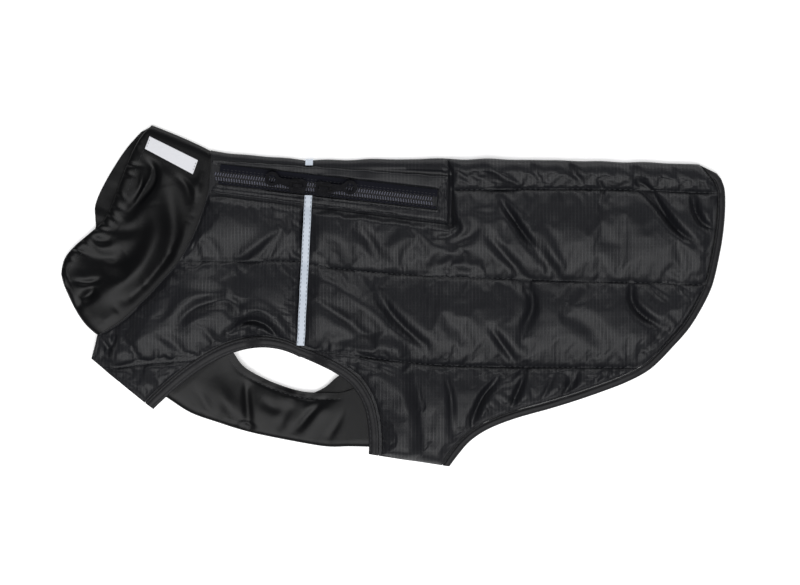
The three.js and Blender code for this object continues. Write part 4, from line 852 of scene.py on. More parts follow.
def folded_panel(name, table, lower_table, columns, loft, creases, seed, edge_rise, lean=0.0,
                 bound=(0, 0), lower_bound=(0, 0)):
    """A padded panel in two layers joined round the back fold. Its rows run from the lower layer's
    free edge, round the fold, to the upper layer's free edge. "edge_rise" says for the front, the
    back and the last edge how far the padding stays flat and over what length it then rises."""
    rows = refine_rows(table, COARSE_STEPS)
    corners = [1 + (i - 1) * COARSE_STEPS for i, row in enumerate(table) if row.bend == "front"]
    front_edge = inset_ends(rows, "front", bound[0])
    back_edge = inset_ends(rows, "back", bound[1])
    edges = [front_edge[1:], back_edge[1:]]
    last_row = across(front_edge[-1:], back_edge[-1:], [rows[-1].bow], 30, lean)[0]
    upper_corners = [c - 1 for c in corners]

    def plan(steps, count):
        bows = [r.bow for r in rows[1:]]
        return panel_plan(front_edge, back_edge, bows, steps, count, lean, upper_corners)

    def top(p, detail):
        ends = np.min([
            arch((edge_distance(p, edge) - flat) / rise)
            for edge, (flat, rise) in zip([*edges, last_row], edge_rise)
        ], axis=0)
        uneven = 1 + LOFT_SWAY[0] * ripple(p, LOFT_SWAY[1], seed)
        rise = loft * uneven * channel_loft(p) + crease_height(p, creases)
        padded = lay_height(p) + STITCHED + np.maximum(0, rise) * ends
        if detail:
            depth, width = STITCH_GROOVE
            padded = padded - depth * np.exp(-(nearest(p, STITCH_LINES) / width) ** 2)
        flat = smooth(1 - (outside(p, PLACKET) - BED_MARGIN) / BED_SLOPE)
        away, _, share = along_line(p, END_SEAM)
        drawn_in = END_SEAM_DEPTH * np.exp(-(away / mix(*END_SEAM_WIDTHS, share ** 3)) ** 2)
        return mix(padded, ZIP_BED, flat) - drawn_in

    fine = plan(SIM_STEPS * FINE, (columns - 1) * FINE + 1)
    fine_z = top(fine, detail=True)
    upper = np.dstack([fine, fine_z])
    coarse = plan(SIM_STEPS, columns)
    on_stitches = smooth(1 - nearest(coarse, STITCH_LINES) / HELD_BY_STITCHES)
    on_edges = smooth(1 - nearest(coarse, [*edges, last_row]) / HELD_BY_EDGES)
    under_placket = smooth(1 - (outside(coarse, PLACKET) - 0.8) / 3)
    held = np.maximum(np.maximum(on_stitches, on_edges), under_placket)
    held[0] = 1
    base = np.dstack([coarse, top(coarse, detail=False)])
    upper = upper + upsample(simulate(base, held))
    upper[..., 2] = np.maximum(upper[..., 2], lay_height(fine) + 1.2)
    risen = smooth((fine_z - UPPER_INNER - STITCHED) / 3)
    upper[..., 2] += SKIN_SWAY[0] * ripple(fine, SKIN_SWAY[1], seed + 1) * risen

    crest_row = np.array([table[0].front, table[0].back], float)
    crest = across(crest_row[:1], crest_row[1:], [table[0].bow], upper.shape[1], lean)[0]
    crest[:, 1] += CREST_SWAY[0] * ripple(crest * [1, 0], CREST_SWAY[1], seed + 2)
    brow = upper[0]
    fold_outer, fold_inner = fold_faces(brow[:, :2], crest, FOLD_ANGLES, LOWER_WALL,
                                        (lower_outer(brow[:, :2]), brow[:, 2]), (LOWER_WALL, UPPER_INNER))

    lower_fronts = inset_ends(lower_table, "front", lower_bound[0])
    lower_backs = inset_ends(lower_table, "back", lower_bound[1])
    lower_corners = [i - 1 for i, row in enumerate(lower_table) if row.bend == "front"]
    lower_plan = panel_plan(lower_fronts, lower_backs, [r.bow for r in lower_table[1:]], LOWER_STEPS,
                            upper.shape[1], lean, lower_corners)[::-1]
    lower = np.dstack([lower_plan, lower_outer(lower_plan)])
    lower_under = np.dstack([lower_plan, np.full(lower_plan.shape[:2], LOWER_WALL)])
    upper_under = np.dstack([upper[..., :2], np.minimum(lay_height(upper[..., :2]), upper[..., 2] - 0.8)])

    outer = np.concatenate([lower, fold_outer, upper])
    under = np.concatenate([lower_under, fold_inner, upper_under])
    surplus = (len(outer) - 1) % BACKING
    if surplus:  # the coarse inner face needs whole steps, so the lower layer gives up some rows
        outer = np.concatenate([outer[:1], outer[1 + surplus:]])
        under = np.concatenate([under[:1], under[1 + surplus:]])
    made = wall(name, outer, under[::BACKING, ::BACKING], SHELL)
    steps = SIM_STEPS * FINE
    rims_front = densify([r.front for r in rows[1:]], steps, upper_corners)
    rims_back = densify([r.back for r in rows[1:]], steps)
    return Panel(outer, under, rims_front, rims_back, len(outer) - len(upper), made)


def moved_back(row):
    """A row of the lower layer stands back from the leg hole."""
    front = (row.front[0] - 0.78 * HOLE_SHIFT, row.front[1] + 0.625 * HOLE_SHIFT)
    return Row(front, (row.back[0], row.back[1] + HOLE_SHIFT), row.bow)


hole_edge = [r.front for r in refine_rows(REAR_ROWS, COARSE_STEPS) if r.hole]
hem_edge = [r.back for r in REAR_ROWS[1:]]
rear_puckers = puckers_along([
    (STITCH_LINES[0][1:], 3, 18, 8, 0.5),
    (STITCH_LINES[2], 5, 9, 9, 0.75),
    (STITCH_LINES[4], 7, 9, 9, 0.75),
    ([(x - 5, y + 4) for x, y in hem_edge[8:-1]], 11, 7, 12, 1.1, (-1,)),
    ([(x - 7, y) for x, y in hem_edge[1:9]], 12, 9, 8, 0.7, (-1,)),
    ([(x + 4, y + 6) for x, y in hole_edge], 13, 8, 9, 0.6, (1,)),
    ([(-57, 62), (-60, 24), (-61, -32)], 17, 8, 8, 0.5, (1,)),
    ([(-54, 54), (44, 46)], 19, 9, 8, 0.6, (-1,)),
])
yoke_puckers = puckers_along([
    (STITCH_LINES[1], 23, 10, 8, 0.5),
    (STITCH_LINES[3], 25, 7, 10, 1.3),
    ([(-60, 60), (-62, 24), (-64, -30)], 27, 5, 6, 0.7, (-1,)),
    ([(x + 3, y) for x, y in NECKLINE[2:]], 29, 8, 7, 0.5, (1,)),
    ([(-120, 64), (-62, 58)], 31, 8, 7, 0.5, (-1,)),
    ([(-166, -70), (-130, -38), (-100, -26), (-64, -33)], 33, 8, 9, 0.7, (1,)),
])
rear = folded_panel("rear_quilt", REAR_ROWS, REAR_ROWS, 129, REAR_LOFT, REAR_CREASES + rear_puckers, 41,
                    [(2.0, 12.0), (0.6, 8.0), (0.8, 8.0)], bound=(BINDING_WIDTH, HEM_WIDTH),
                    lower_bound=(BINDING_WIDTH + HOLE_SHIFT, HEM_WIDTH))
yoke_lower = [*YOKE_ROWS[:-2], moved_back(YOKE_ROWS[-1])]
yoke = folded_panel("yoke_quilt", YOKE_ROWS, yoke_lower, 65, YOKE_LOFT, YOKE_CREASES + yoke_puckers, 43,
                    [(1.0, 10.0), (1.6, 9.0), (0.8, 9.0)], lean=ARCH_LEAN)


# Bound edges

def strip(name, sections, surface, sharp=60):
    """A closed tape from sections, each a ring of points."""
    sections = np.asarray(sections)
    count, ring = sections.shape[:2]
    faces = []
    for i in range(count - 1):
        for j in range(ring):
            k = (j + 1) % ring
            faces.append((i * ring + j, i * ring + k, (i + 1) * ring + k, (i + 1) * ring + j))
    faces.append(tuple(range(ring)))
    faces.append(tuple((count - 1) * ring + j for j in reversed(range(ring))))
    return mesh_piece(name, sections, faces, surface, sharp)


BINDING_STATIONS = [0.0, 0.06, 0.13, 0.19, 0.25, 0.4, 0.6, 0.74, 0.8, 0.86, 0.94, 1.0]
LEG_STITCHES = (0.19, 0.8)
HEM_STITCHES = (0.13,)


def binding_section(faces, rim, middle, rise):
    """One section of a folded tape as a ring of points: out to the rim over one face of the panel and
    back under the other. "rise" gives what a face adds at a share of the tape's width."""
    ring = []
    for side, u in [(0, u) for u in BINDING_STATIONS] + [(1, u) for u in BINDING_STATIONS[-2::-1]]:
        face = faces[side]
        start = SEAM_GAP / max(1.0, np.linalg.norm(face[:2] - rim))
        xy = mix(face[:2], rim, start + (1 - start) * u)
        rounding = (1 - u ** 3.2) ** 0.5
        ring.append((*xy, mix(middle, face[2], rounding) + rise(side, u, rounding)))
    return ring


def sunk(u, stitches):
    """How far the thread draws in the tape: 1 on a row of stitches."""
    return max(math.exp(-((u - s) / 0.05) ** 2) for s in stitches)


def hole_binding(name, upper_layer, seed):
    """The tape round a leg hole: along the yoke's last row and on down the rear panel's edge."""
    yoke_at = -1 if upper_layer else 0
    count = yoke.outer.shape[1]
    rim_row = YOKE_RIM if upper_layer else moved_back(YOKE_RIM)
    rim_line = across(np.array([rim_row.front]), np.array([rim_row.back]), [rim_row.bow], count, ARCH_LEAN)[0]
    if upper_layer:
        first = (SEAM_END_ROW - 1) * COARSE_STEPS * SIM_STEPS * FINE
        rear_rims = rear.rims_front[first:]
        rows = rear.upper_start + first + np.arange(len(rear_rims))
    else:
        rear_rims = densify(inset_ends(REAR_ROWS, "front", HOLE_SHIFT)[1:], LOWER_STEPS, [SEAM_END_ROW - 1])
        rear_rims = rear_rims[(SEAM_END_ROW - 1) * LOWER_STEPS:]
        rows = np.arange(len(rear_rims))[::-1]
    tops = np.vstack([yoke.outer[yoke_at, :-1], rear.outer[rows, 0]])
    unders = np.vstack([yoke.under[yoke_at, :-1], rear.under[rows, 0]])
    if not upper_layer:
        tops[:, 2] = LOWER_WALL
        unders[:, 2] = 0
    line = np.vstack([rim_line[:-1], rear_rims])
    wave = 0.22 * ripple(line, 7, seed)
    sections = []
    for top, under, rim, sway in zip(tops, unders, line, wave):
        def rise(side, u, rounding):
            if side:
                return -0.1 * math.sin(math.pi * u) if upper_layer else 0.0
            puffed = 0.45 * math.sin(math.pi * min(1, u * 1.15)) - 0.3 * sunk(u, LEG_STITCHES)
            return puffed + sway * (0.3 + 0.7 * u) * rounding

        middle = mix(under[2], top[2], 0.45 if upper_layer else 0.2)
        sections.append(binding_section((top, under), rim, middle, rise))
    return strip(name, sections, BINDING), tops, line


def hem_binding():
    """The hem's tape, from the belly of the lower layer round the tail and the fold to the upper."""
    sections = []
    tops, rims = [], []
    lower_rims = densify([r.back for r in REAR_ROWS[1:]], LOWER_STEPS)[::-1]
    lower_count = rear.upper_start - FOLD_STEPS
    lower_rims = lower_rims[len(lower_rims) - lower_count:]
    crest = np.array(REAR_ROWS[0].back)
    brow = np.array(REAR_ROWS[1].back)
    waves = 0.2 * ripple(rear.outer[:, -1, :2], 11, 57)
    for g in range(len(rear.outer)):
        a, b = rear.outer[g, -1], rear.under[g, -1]
        in_fold = lower_count <= g < rear.upper_start
        is_upper = g >= rear.upper_start
        if is_upper:
            rim = rear.rims_back[g - rear.upper_start]
        elif in_fold:
            rim = mix(brow, crest, math.cos(FOLD_ANGLES[g - lower_count]))
        else:
            rim = lower_rims[g]

        def rise(side, u, rounding):
            if side or not is_upper:
                return 0.0
            puffed = 0.5 * math.sin(math.pi * min(1, u * 1.1)) - 0.35 * sunk(u, HEM_STITCHES)
            return puffed + waves[g] * (1 - u)

        sections.append(binding_section((a, b), rim, mix(a[2], b[2], 0.45), rise))
        if is_upper:
            tops.append(a)
            rims.append(rim)
    return strip("hem_tape", sections, BINDING), np.array(tops), np.array(rims)


leg_tape_left, left_tops, left_rims = hole_binding("leg_tape_left", True, 51)
leg_tape_right, _, _ = hole_binding("leg_tape_right", False, 53)
hem_tape, hem_tops, hem_rims = hem_binding()


# Chest panel

def chest_panel():
    """A strip folded lengthways, its fold along the coat's lower edge."""
    fields = {
        key: densify([getattr(s, key) for s in CHEST_SECTIONS], CHEST_STEPS)
        for key in ("fold", "upper", "lower")
    }
    fold = fields["fold"]
    lift = np.interp(np.arange(len(fold)) / CHEST_STEPS, np.arange(len(CHEST_SECTIONS)),
                     [s.lift for s in CHEST_SECTIONS])
    buried = np.minimum(1, lift / UPPER_INNER)
    brow = 0.88
    shares = np.linspace(0, 1, CHEST_COLUMNS) * brow

    def level(plan, height):
        return np.dstack([plan, np.repeat(height[:, None], CHEST_COLUMNS, 1)])

    upper_plan = mix(fields["upper"][:, None, :], fold[:, None, :], shares[None, :, None])
    lower_plan = mix(fields["lower"][:, None, :], fold[:, None, :], shares[None, ::-1, None])
    hem_away = np.linalg.norm(upper_plan - fields["upper"][:, None, :], axis=-1)
    relief = crease_height(upper_plan, CHEST_CREASES + chest_puckers) + 0.55 * ripple(upper_plan, 22, 61)
    relief += 1.1 * np.sin(np.pi * np.clip(shares / brow, 0, 1))[None, :]
    relief -= 0.5 * np.exp(-((hem_away - CHEST_HEM) / 0.9) ** 2)
    relief = relief * (1 - buried)[:, None] * np.minimum(1, (shares * 6 + 0.1))[None, :]
    relief = np.maximum(relief, -1.5)
    upper = level(upper_plan, lift + CHEST_TOP)
    upper[..., 2] += relief
    over_lower = lift + CHEST_WALL
    start = upper[:, -1]
    turn_outer, turn_inner = fold_faces(start[:, :2], fold, FOLD_ANGLES[::-1], CHEST_WALL,
                                        (lift, start[:, 2]), (over_lower, over_lower + LAYER_GAP))
    upper_under = level(upper_plan, over_lower + LAYER_GAP)
    outer = np.concatenate([upper.transpose(1, 0, 2), turn_outer, level(lower_plan, lift).transpose(1, 0, 2)])
    under = np.concatenate([upper_under.transpose(1, 0, 2), turn_inner,
                            level(lower_plan, over_lower).transpose(1, 0, 2)])
    keep = (len(outer) - 1) // BACKING * BACKING + 1
    outer, under = outer[-keep:], under[-keep:]
    columns = (len(fold) - 1) // BACKING * BACKING + 1
    outer, under = outer[:, :columns], under[:, :columns]
    return wall("chest_cloth", outer, under[::BACKING, ::BACKING], SATIN)


chest_puckers = puckers_along([
    ([s.upper for s in CHEST_SECTIONS[2:-2]], 63, 9, 8, 0.5, (-1,)),
    ([s.fold for s in CHEST_SECTIONS[2:-2]], 65, 11, 7, 0.4, (1,)),
])
chest_cloth = chest_panel()


# Collar

def collar_tube():
    """A tube pressed flat: the upper layer, the throat fold, the lower layer and the nape fold."""
    neck = np.array(NECKLINE, float)
    before = np.vstack([neck[:1], neck[:-1]])
    after = np.vstack([neck[1:], neck[-1:]])
    turn = (after - before) / np.linalg.norm(after - before, axis=1, keepdims=True)
    neck = neck + np.column_stack([turn[:, 1], -turn[:, 0]]) * NECK_SEAM
    last = len(COLLAR_ROWS) - 1
    t = np.linspace(0, 1, COLLAR_COLUMNS)
    seam = densify(neck, COLLAR_STEPS)
    swell = np.interp(np.arange(len(seam)) / COLLAR_STEPS, np.arange(last + 1),
                      [r.swell for r in COLLAR_ROWS])

    def plan(layer):
        mouth = densify([getattr(r, layer) for r in COLLAR_ROWS], COLLAR_STEPS)
        span = np.linalg.norm(mouth - seam, axis=1)
        grid = mix(mouth[:, None, :], seam[:, None, :], t[None, :, None])
        out = (swell / span)[:, None] * 4 * t * (1 - t) * (0.6 + 0.8 * t)
        grid[..., 0] += (seam - mouth)[:, None, 1] * out
        grid[..., 1] -= (seam - mouth)[:, None, 0] * out
        return grid, span

    upper_plan, span = plan("upper")
    lower_plan, lower_span = plan("lower")
    first, stop = COLLAR_STEPS, (last - 1) * COLLAR_STEPS
    number = np.arange(len(seam))
    rng = np.random.default_rng(71)
    # Gathers run in from the mouth, uneven in place, depth and length.
    from_mouth = t[None, :] * span[:, None]
    gathers = np.zeros(upper_plan.shape[:2])
    position = first + 3.0
    while position < stop:
        width = rng.uniform(1.4, 2.4)
        reach = rng.uniform(4, 11)
        depth = rng.uniform(0.6, 1.3)
        slant = rng.uniform(-0.5, 0.5)
        centre = position + slant * from_mouth
        dent = np.exp(-((number[:, None] - centre) / width) ** 2) * np.exp(-(from_mouth / reach) ** 2)
        gathers -= depth * dent
        position += rng.uniform(6, 15)
    casing = 0.7 * np.exp(-((from_mouth - 4) / 3.2) ** 2)
    ends = smooth((1 - t) * 6) * smooth((t + 0.08) * 5)
    folds = crease_height(upper_plan, COLLAR_CREASES + collar_puckers) + 0.5 * ripple(upper_plan, 30, 73)
    padded = COLLAR_WALL + folds * ends[None, :] + gathers + casing
    padded = mix(padded, STITCHED, smooth((t - 0.86) / 0.14)[None, :])
    flat = smooth(1 - (outside(upper_plan, LABEL) - 2) / 7) * (t < 0.97)
    padded = mix(padded, COLLAR_WALL, flat)
    padded *= mix(0.72, 1.0, arch(from_mouth / 3.0))
    upper = np.dstack([upper_plan, UPPER_INNER + np.maximum(padded, 0.9)])
    upper_under = np.dstack([upper_plan, np.full(upper_plan.shape[:2], UPPER_INNER)])
    lower = np.dstack([lower_plan, np.zeros(lower_plan.shape[:2])])
    lower_from_mouth = t[None, :] * lower_span[:, None]
    lining = 0.5 * ripple(lower_plan, 12, 75) * np.exp(-(lower_from_mouth / 18) ** 2)
    lower_under = np.dstack([lower_plan, LOWER_WALL + np.minimum(lining - 0.45, 0.15)])

    def turn_round(brow, crest, angles):
        return fold_faces(upper[brow, :, :2], upper_plan[crest], angles, LOWER_WALL,
                          (0.0, upper[brow, :, 2]), (LOWER_WALL, UPPER_INNER))

    throat_outer, throat_inner = turn_round(stop, -1, FOLD_ANGLES[::-1])
    nape_outer, nape_inner = turn_round(first, 0, FOLD_ANGLES)
    outer = np.concatenate([upper[first:stop + 1], throat_outer, lower[first:stop + 1][::-1], nape_outer])
    under = np.concatenate([upper_under[first:stop + 1], throat_inner,
                            lower_under[first:stop + 1][::-1], nape_inner])
    drop = len(outer) % BACKING
    if drop:  # the coarse inner face needs whole steps, so the lower layer gives up some rows
        at = stop + 1 - first + FOLD_STEPS + 4
        outer = np.delete(outer, np.s_[at:at + drop], axis=0)
        under = np.delete(under, np.s_[at:at + drop], axis=0)
    made = wall("collar_cloth", outer, under[::BACKING, ::BACKING], SATIN, ring=True)
    return made, upper[first:stop + 1]


collar_puckers = stitch_puckers([(x - 2, y - 1) for x, y in NECKLINE[1:]], 77, 8, 9, 0.5, sides=(-1,))
collar_cloth, collar_upper = collar_tube()


# Zip, placket and trims

# The zip's own frame has x along the teeth and y across them.
zip_along = (ZIP_END - ZIP_START) / np.linalg.norm(ZIP_END - ZIP_START)
zip_across = np.array([-zip_along[1], zip_along[0]])
zip_length = float(np.linalg.norm(ZIP_END - ZIP_START))
ZIP_Z = ZIP_BED + 0.3


def from_zip(x, y, z):
    xy = ZIP_START + zip_along * x + zip_across * y
    return (xy[0], xy[1], ZIP_Z + z)


def capsule(start, end, radius_across, radius_up, sides=6, rings=3):
    """Points and faces of a rounded stick between two points."""
    start, end = np.array(start, float), np.array(end, float)
    axis = end - start
    length = np.linalg.norm(axis)
    axis /= length
    flat = np.array([-axis[1], axis[0], 0.0])
    flat /= max(np.linalg.norm(flat), 1e-9)
    up = np.cross(axis, flat)
    points, faces = [start], []
    for k in range(1, rings + 1):
        s = k / (rings + 1)
        swell = math.sin(math.pi * s) ** 0.5
        for a in np.linspace(0, math.tau, sides, endpoint=False):
            points.append(start + axis * length * s + flat * radius_across * swell * math.cos(a)
                          + up * radius_up * swell * math.sin(a))
    points.append(end)
    for j in range(sides):
        k = (j + 1) % sides
        faces.append((0, 1 + k, 1 + j))
        for r in range(rings - 1):
            a, b = 1 + r * sides, 1 + (r + 1) * sides
            faces.append((a + j, a + k, b + k, b + j))
        top = 1 + (rings - 1) * sides
        faces.append((top + j, top + k, len(points) - 1))
    return points, faces


def joined(name, parts, surface, sharp=60):
    """Many small parts, each with points and faces, as one piece."""
    points, faces = [], []
    for more_points, more_faces in parts:
        base = len(points)
        points.extend(more_points)
        faces.extend(tuple(base + i for i in face) for face in more_faces)
    return mesh_piece(name, points, faces, surface, sharp)


def run_along(line):
    """How far along a line of points each of them lies."""
    return np.concatenate([[0.0], np.cumsum(np.linalg.norm(np.diff(line, axis=0), axis=1))])


def stitch_row(path, length, gap, radius, sink=0.05):
    """Stitches along a line of points on the cloth."""
    path = np.asarray(path, float)
    run = run_along(path)
    parts = []
    at = gap
    while at + length < run[-1]:
        ends = [np.array([np.interp(s, run, path[:, c]) for c in range(3)]) for s in (at, at + length)]
        for e in ends:
            e[2] -= sink
        parts.append(capsule(ends[0], ends[1], radius, radius))
        at += length + gap
    return parts


def sampled(line, step=1.5):
    """Points at an even step along a line of points."""
    line = np.asarray(line, float)
    run = run_along(line)
    at = np.arange(0, run[-1], step)
    return np.column_stack([np.interp(at, run, line[:, c]) for c in range(line.shape[1])])


def zip_teeth():
    """Two rows of single teeth, half a pitch apart."""
    parts = []
    count = int((zip_length - 1.6) / TOOTH_PITCH)
    for i in range(count):
        x = 1.2 + i * TOOTH_PITCH
        for side, shift in ((1, 0.0), (-1, 0.5)):
            centre = x + shift * TOOTH_PITCH
            ends = [from_zip(centre + slant, side * away, height)
                    for slant, away, height in zip(TOOTH_SLANT, TOOTH_SPAN, TOOTH_HEIGHT)]
            parts.append(capsule(*ends, *TOOTH_RADII, sides=8, rings=5))
    return joined("zip_coil", parts, TEETH)


def zip_core():
    """The cord and thread that the teeth are sewn along."""
    parts = []
    for y in COIL_THREADS:
        parts += stitch_row([from_zip(x, y, 1.42) for x in (1.0, zip_length + 0.2)], *COIL_STITCH)
    for y in ZIP_THREADS:
        parts += stitch_row([from_zip(x, y, TAPE_WALL + 0.05) for x in (5, zip_length)], *ZIP_STITCH)
    return joined("zip_thread", parts, THREAD)


def placket_cloth():
    """The frame of cloth round the zip. It is drawn in by the stitches along its tail and belly sides,
    lies looser beside the fold and flat under the collar."""
    corners = [np.array(p, float) for p in PLACKET]
    local = [((p - ZIP_START) @ zip_along, (p - ZIP_START) @ zip_across) for p in corners]
    slot = SEAM_GAP
    window = [(1.6, WINDOW_ABOVE + slot), (zip_length + 1.6, WINDOW_ABOVE + slot),
              (zip_length + 1.6, -WINDOW_BELOW - slot), (1.6, -WINDOW_BELOW - slot)]
    outer_line, inner_line = [], []
    for k in range(4):
        for line, source in ((outer_line, local), (inner_line, window)):
            a, b = np.array(source[k]), np.array(source[(k + 1) % 4])
            line.extend(mix(a, b, s / PLACKET_COUNTS[k]) for s in range(PLACKET_COUNTS[k]))
    outer_line, inner_line = np.array(outer_line), np.array(inner_line)
    count = len(outer_line)
    top, bottom = [], []
    sides = np.repeat(np.arange(4), PLACKET_COUNTS)
    for i in range(count):
        edge_sway = 0.35 * ripple(ZIP_START + outer_line[i], 8, 83)
        for share in np.arange(PLACKET_RINGS) / (PLACKET_RINGS - 1):
            xy = mix(inner_line[i], outer_line[i], share)
            world = ZIP_START + zip_along * xy[0] + zip_across * xy[1]
            span = np.linalg.norm(outer_line[i] - inner_line[i])
            away_in, away_out = share * span, (1 - share) * span
            z = PLACKET_WALL * (0.4 + 0.6 * arch(min(away_in, away_out) / 0.8))
            inside = float(smooth(min(away_in, away_out) / 1.4))
            if sides[i] == FOLD_SIDE:
                z += inside * (0.5 + 0.9 * ripple(world, 21, 84))
            elif sides[i] == COLLAR_SIDE:
                z = 0.35
            else:
                z += 0.25 * math.exp(-((away_in - 0.9) / 0.7) ** 2)
                z -= 0.35 * math.exp(-((away_in - 2.2) / 0.5) ** 2)
                z -= 0.45 * math.exp(-((away_out - 2.0) / 0.6) ** 2)
                z += inside * (0.15 + 0.35 * ripple(world, 9, 81) + 0.2 * ripple(world, 4, 82))
            if sides[i] == TAIL_SIDE:
                z += 0.4 * ripple(world, 3.6, 85) * math.exp(-((away_out - 2.2) / 2.0) ** 2)
            top.append(from_zip(xy[0], xy[1] + edge_sway * share, max(z, 0.3)))
            bottom.append(from_zip(xy[0], xy[1] + edge_sway * share, 0.0))
    faces = []
    base = count * PLACKET_RINGS
    for i in range(count):
        a, b = i * PLACKET_RINGS, (i + 1) % count * PLACKET_RINGS
        for r in range(PLACKET_RINGS - 1):
            faces.append((a + r, b + r, b + r + 1, a + r + 1))
            faces.append((base + a + r, base + a + r + 1, base + b + r + 1, base + b + r))
        for r in (0, PLACKET_RINGS - 1):
            faces.append((a + r, b + r, base + b + r, base + a + r))
    made = mesh_piece("placket_cloth", np.array(top + bottom), faces, SHELL)
    rows = []
    stitched = np.isin(sides, (TAIL_SIDE, BELLY_SIDE))
    for from_inside, from_outside in ((0, 2.0), (2.2, 0)):
        line = []
        for a, b in zip(inner_line[stitched], outer_line[stitched]):
            span = np.linalg.norm(b - a)
            share = from_inside / span if from_inside else 1 - from_outside / span
            line.append(from_zip(*mix(a, b, share), 0)[:2])
        rows += stitch_row(Heights(made).path(line, 0.08, 1.2), *PLACKET_STITCH)
    return made, rows


placket, placket_stitches = placket_cloth()
coil = zip_teeth()
coil_thread = zip_core()

body_heights = Heights(rear.object, yoke.object, placket)


def stripe_tape():
    """The stripe that shows: a straight tape that follows the cloth under it."""
    start, end = np.array(STRIPE_TOP, float), np.array(STRIPE_BOTTOM, float)
    length = np.linalg.norm(end - start)
    direction = (end - start) / length
    side = np.array([-direction[1], direction[0]])
    half = STRIPE_WIDTH / 2
    centres = [start + direction * length * s for s in np.linspace(0, 1, int(length / STRIPE_STEP) + 1)]
    highest = [max(body_heights.at(*(p + side * s)) for s in (-half, 0, half)) for p in centres]
    window = np.hanning(11)[1:-1]
    evened = np.convolve(np.pad(highest, 4, mode="edge"), window / window.sum(), "valid")
    evened = np.maximum(evened, np.array(highest) - 0.15)
    sections = []
    for p, base in zip(centres, evened):
        sway = 0.12 * ripple(p, 14, 91)
        ring = []
        for u in np.linspace(-1, 1, 9):
            z = base + 0.15 + STRIPE_WALL * (1 - 0.5 * abs(u) ** 6) + 0.08 * (1 - u * u)
            ring.append((*(p + side * (u * half + sway)), z))
        for u in np.linspace(1, -1, 9):
            ring.append((*(p + side * (u * half + sway)), base + 0.1))
        sections.append(ring)
    return strip("stripe_tape_left", sections, REFLECTIVE), [np.array(s) for s in sections]


stripe, stripe_sections = stripe_tape()


def label_piece():
    """A small bare label with a narrow dark border, sewn at its ends."""
    a, b, c, d = [np.array(p, float) for p in LABEL]
    heights = Heights(collar_cloth)
    across_count, down_count = 41, 15
    grid_top = np.zeros((down_count, across_count, 3))
    for i, v in enumerate(np.linspace(0, 1, down_count)):
        for j, u in enumerate(np.linspace(0, 1, across_count)):
            xy = mix(mix(a, b, u), mix(d, c, u), v)
            wave = 0.25 * math.sin(math.pi * u) + 0.08 * math.sin(9 * u + 3 * v)
            grid_top[i, j] = (*xy, heights.at(xy[0], xy[1]) + LABEL_LIFT + wave)
    grid_low = grid_top.copy()
    grid_low[..., 2] -= LABEL_WALL
    base = down_count * across_count
    faces = quad_grid(down_count, across_count) + quad_grid(down_count, across_count, base)
    number = np.arange(base).reshape(down_count, across_count)
    loop = np.concatenate([number[0], number[1:, -1], number[-1, -2::-1], number[-2:0:-1, 0]]).tolist()
    for p, q in zip(loop, loop[1:] + loop[:1]):
        faces.append((p, q, base + q, base + p))
    points = np.vstack([grid_top.reshape(-1, 3), grid_low.reshape(-1, 3)])
    made = mesh_piece("label_cloth", points, faces, LABEL_CLOTH)
    rows = []
    for u in (LABEL_INSET, 1 - LABEL_INSET):
        j = round(u * (across_count - 1))
        path = [grid_top[round(v * (down_count - 1)), j] + [0, 0, 0.05] for v in np.linspace(0.12, 0.88, 8)]
        rows += stitch_row(path, *LABEL_STITCH)
    edge = grid_top.reshape(-1, 3)[loop + loop[:1]] + [0, 0, 0.02]
    rows += stitch_row(edge, *LABEL_BORDER)
    return made, rows


label, label_stitches = label_piece()

# Stitching
stitch_parts = list(placket_stitches)
for line in (STITCH_LINES[0][1:], STITCH_LINES[2], STITCH_LINES[4], STITCH_LINES[1], STITCH_LINES[3]):
    stitch_parts += stitch_row(body_heights.path(densify(line, 6), 0.12), *BODY_STITCH)
quilt_stitches = joined("body_stitches", stitch_parts, THREAD)

binding_heights = Heights(hem_tape, leg_tape_left)
tape_parts = []
for tops, rims, shares in ((hem_tops, hem_rims, HEM_STITCHES), (left_tops, left_rims, LEG_STITCHES)):
    for share in shares:
        xy = mix(tops[:, :2], rims, share + 0.02)
        tape_parts += stitch_row(binding_heights.path(xy, 0.08), *TAPE_STITCH)
tape_stitches = joined("tape_stitches", tape_parts, THREAD)

stripe_parts = []
for k in (1, 7):
    path = [section[k] + [0, 0, 0.05] for section in stripe_sections]
    stripe_parts += stitch_row(path, *STRIPE_STITCH)
stripe_stitches = joined("stripe_stitches", stripe_parts, THREAD)
label_thread = joined("label_stitches", label_stitches, THREAD)

satin_parts = stitch_row(collar_upper[4:-4:2, 10] + [0, 0, 0.05], *COLLAR_STITCH)
chest_heights = Heights(chest_cloth)
chest_line = densify([
    mix(np.array(s.upper), np.array(s.fold), CHEST_HEM / np.linalg.norm(np.subtract(s.upper, s.fold)))
    for s in CHEST_SECTIONS[2:-2]
], 8)
satin_parts += stitch_row(chest_heights.path(chest_line, 0.08), *CHEST_STITCH)
satin_stitches = joined("satin_stitches", satin_parts, THREAD)


# What each piece stands for, and what it rides on

stands_for = [
    (rear.object, ["rear_panel"], "shell"),
    (yoke.object, ["yoke"], "shell"),
    (placket, ["placket"], "shell"),
    (collar_cloth, ["collar"], "satin"),
    (chest_cloth, ["chest_panel"], "satin"),
    (leg_tape_left, ["leg_binding_left"], "binding"),
    (leg_tape_right, ["leg_binding_right"], "binding"),
    (hem_tape, ["hem_binding"], "binding"),
    (stripe, ["reflective_stripe_left"], "reflective"),
    (label, ["neck_label"], "label_cloth"),
    (coil, ["zip_chain"], "zip_plastic"),
    (coil_thread, [], "zip_cloth"),
    (quilt_stitches, [], "shell"),
    (tape_stitches, [], "binding"),
    (stripe_stitches, [], "shell"),
    (label_thread, [], "shell"),
    (satin_stitches, [], "satin"),
]
for made, replaced, slot in stands_for:
    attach(made, "coat")
    if replaced:
        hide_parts(*replaced)

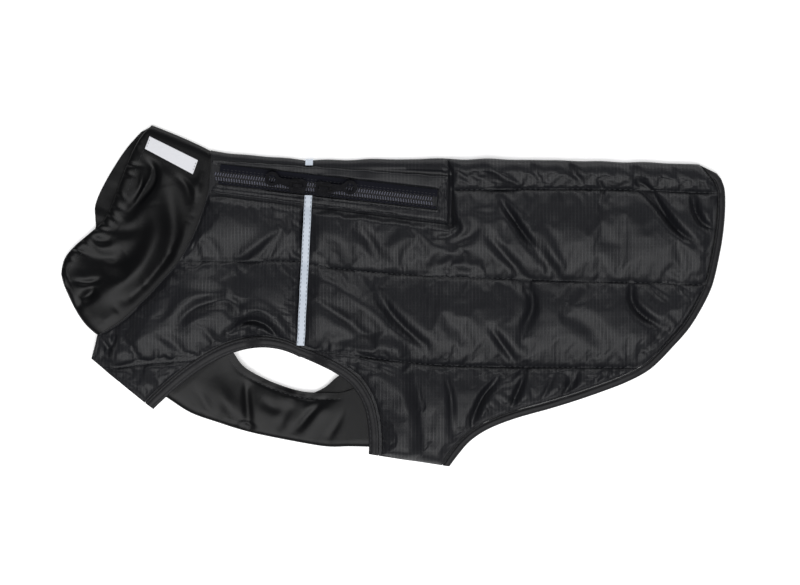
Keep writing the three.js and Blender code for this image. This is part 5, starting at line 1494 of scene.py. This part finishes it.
carried = (
    ("zip_tape_upper", ZIP_CLOTH, 0.15),
    ("zip_tape_lower", ZIP_CLOTH, 0.15),
    ("reflective_stripe_right", REFLECTIVE, 0.12),
    ("slider_left", PLASTIC, 0.28),
    ("slider_right", PLASTIC, 0.28),
    ("pull_left", PLASTIC, 0.35),
    ("pull_right", PLASTIC, 0.35),
)
for name, surface, bevel in carried:
    node = nodes[name]
    node.data.materials.clear()
    node.data.materials.append(surface)
    rounded = node.modifiers.new("rounded", "BEVEL")
    rounded.width = bevel * MM
    rounded.segments = 3
    rounded.limit_method = "ANGLE"
    rounded.angle_limit = math.radians(35)
    rounded.harden_normals = True

# Floor, light and camera

FLOOR_HALF = 3.0
FLOOR_DROP = -0.0004
floor_mesh = bpy.data.meshes.new("floor")
around = ((-1, -1), (1, -1), (1, 1), (-1, 1))
floor_corners = [(x * FLOOR_HALF, y * FLOOR_HALF, FLOOR_DROP) for x, y in around]
floor_mesh.from_pydata(floor_corners, [], [(0, 1, 2, 3)])
floor = bpy.data.objects.new("floor", floor_mesh)
bpy.context.scene.collection.objects.link(floor)
floor_paint = plain_material("floor", (0.93, 0.93, 0.935), 0.7, grain=0.003, scale=3, bump=0.0, glow=0.35)
floor_mesh.materials.append(floor_paint)


def softbox(name, place, size, power):
    """A rectangular light that faces the coat."""
    data = bpy.data.lights.new(name, "AREA")
    data.shape = "RECTANGLE"
    data.size, data.size_y = size
    data.energy = power
    lamp = bpy.data.objects.new(name, data)
    lamp.location = place
    lamp.rotation_euler = (Vector((0, 0, 0)) - Vector(place)).to_track_quat("-Z", "Y").to_euler()
    bpy.context.scene.collection.objects.link(lamp)


softbox("key", (0.0, -0.8, 1.7), (1.9, 1.35), 42)
softbox("back", (0.3, 1.8, 0.7), (2.4, 0.5), 26)

world = bpy.data.worlds.new("studio")
bpy.context.scene.world = world
world.use_nodes = True
world.node_tree.nodes["Background"].inputs["Color"].default_value = (1, 1, 1, 1)
world.node_tree.nodes["Background"].inputs["Strength"].default_value = 0.2

camera_data = bpy.data.cameras.new("camera")
camera_data.sensor_width = 36
camera_data.lens = 145.6
camera_data.clip_end = 20
camera = bpy.data.objects.new("camera", camera_data)
camera.location = (0.0045, 0.0022, 2.2)
bpy.context.scene.collection.objects.link(camera)
bpy.context.scene.camera = camera
bpy.context.scene.view_settings.view_transform = "Standard"
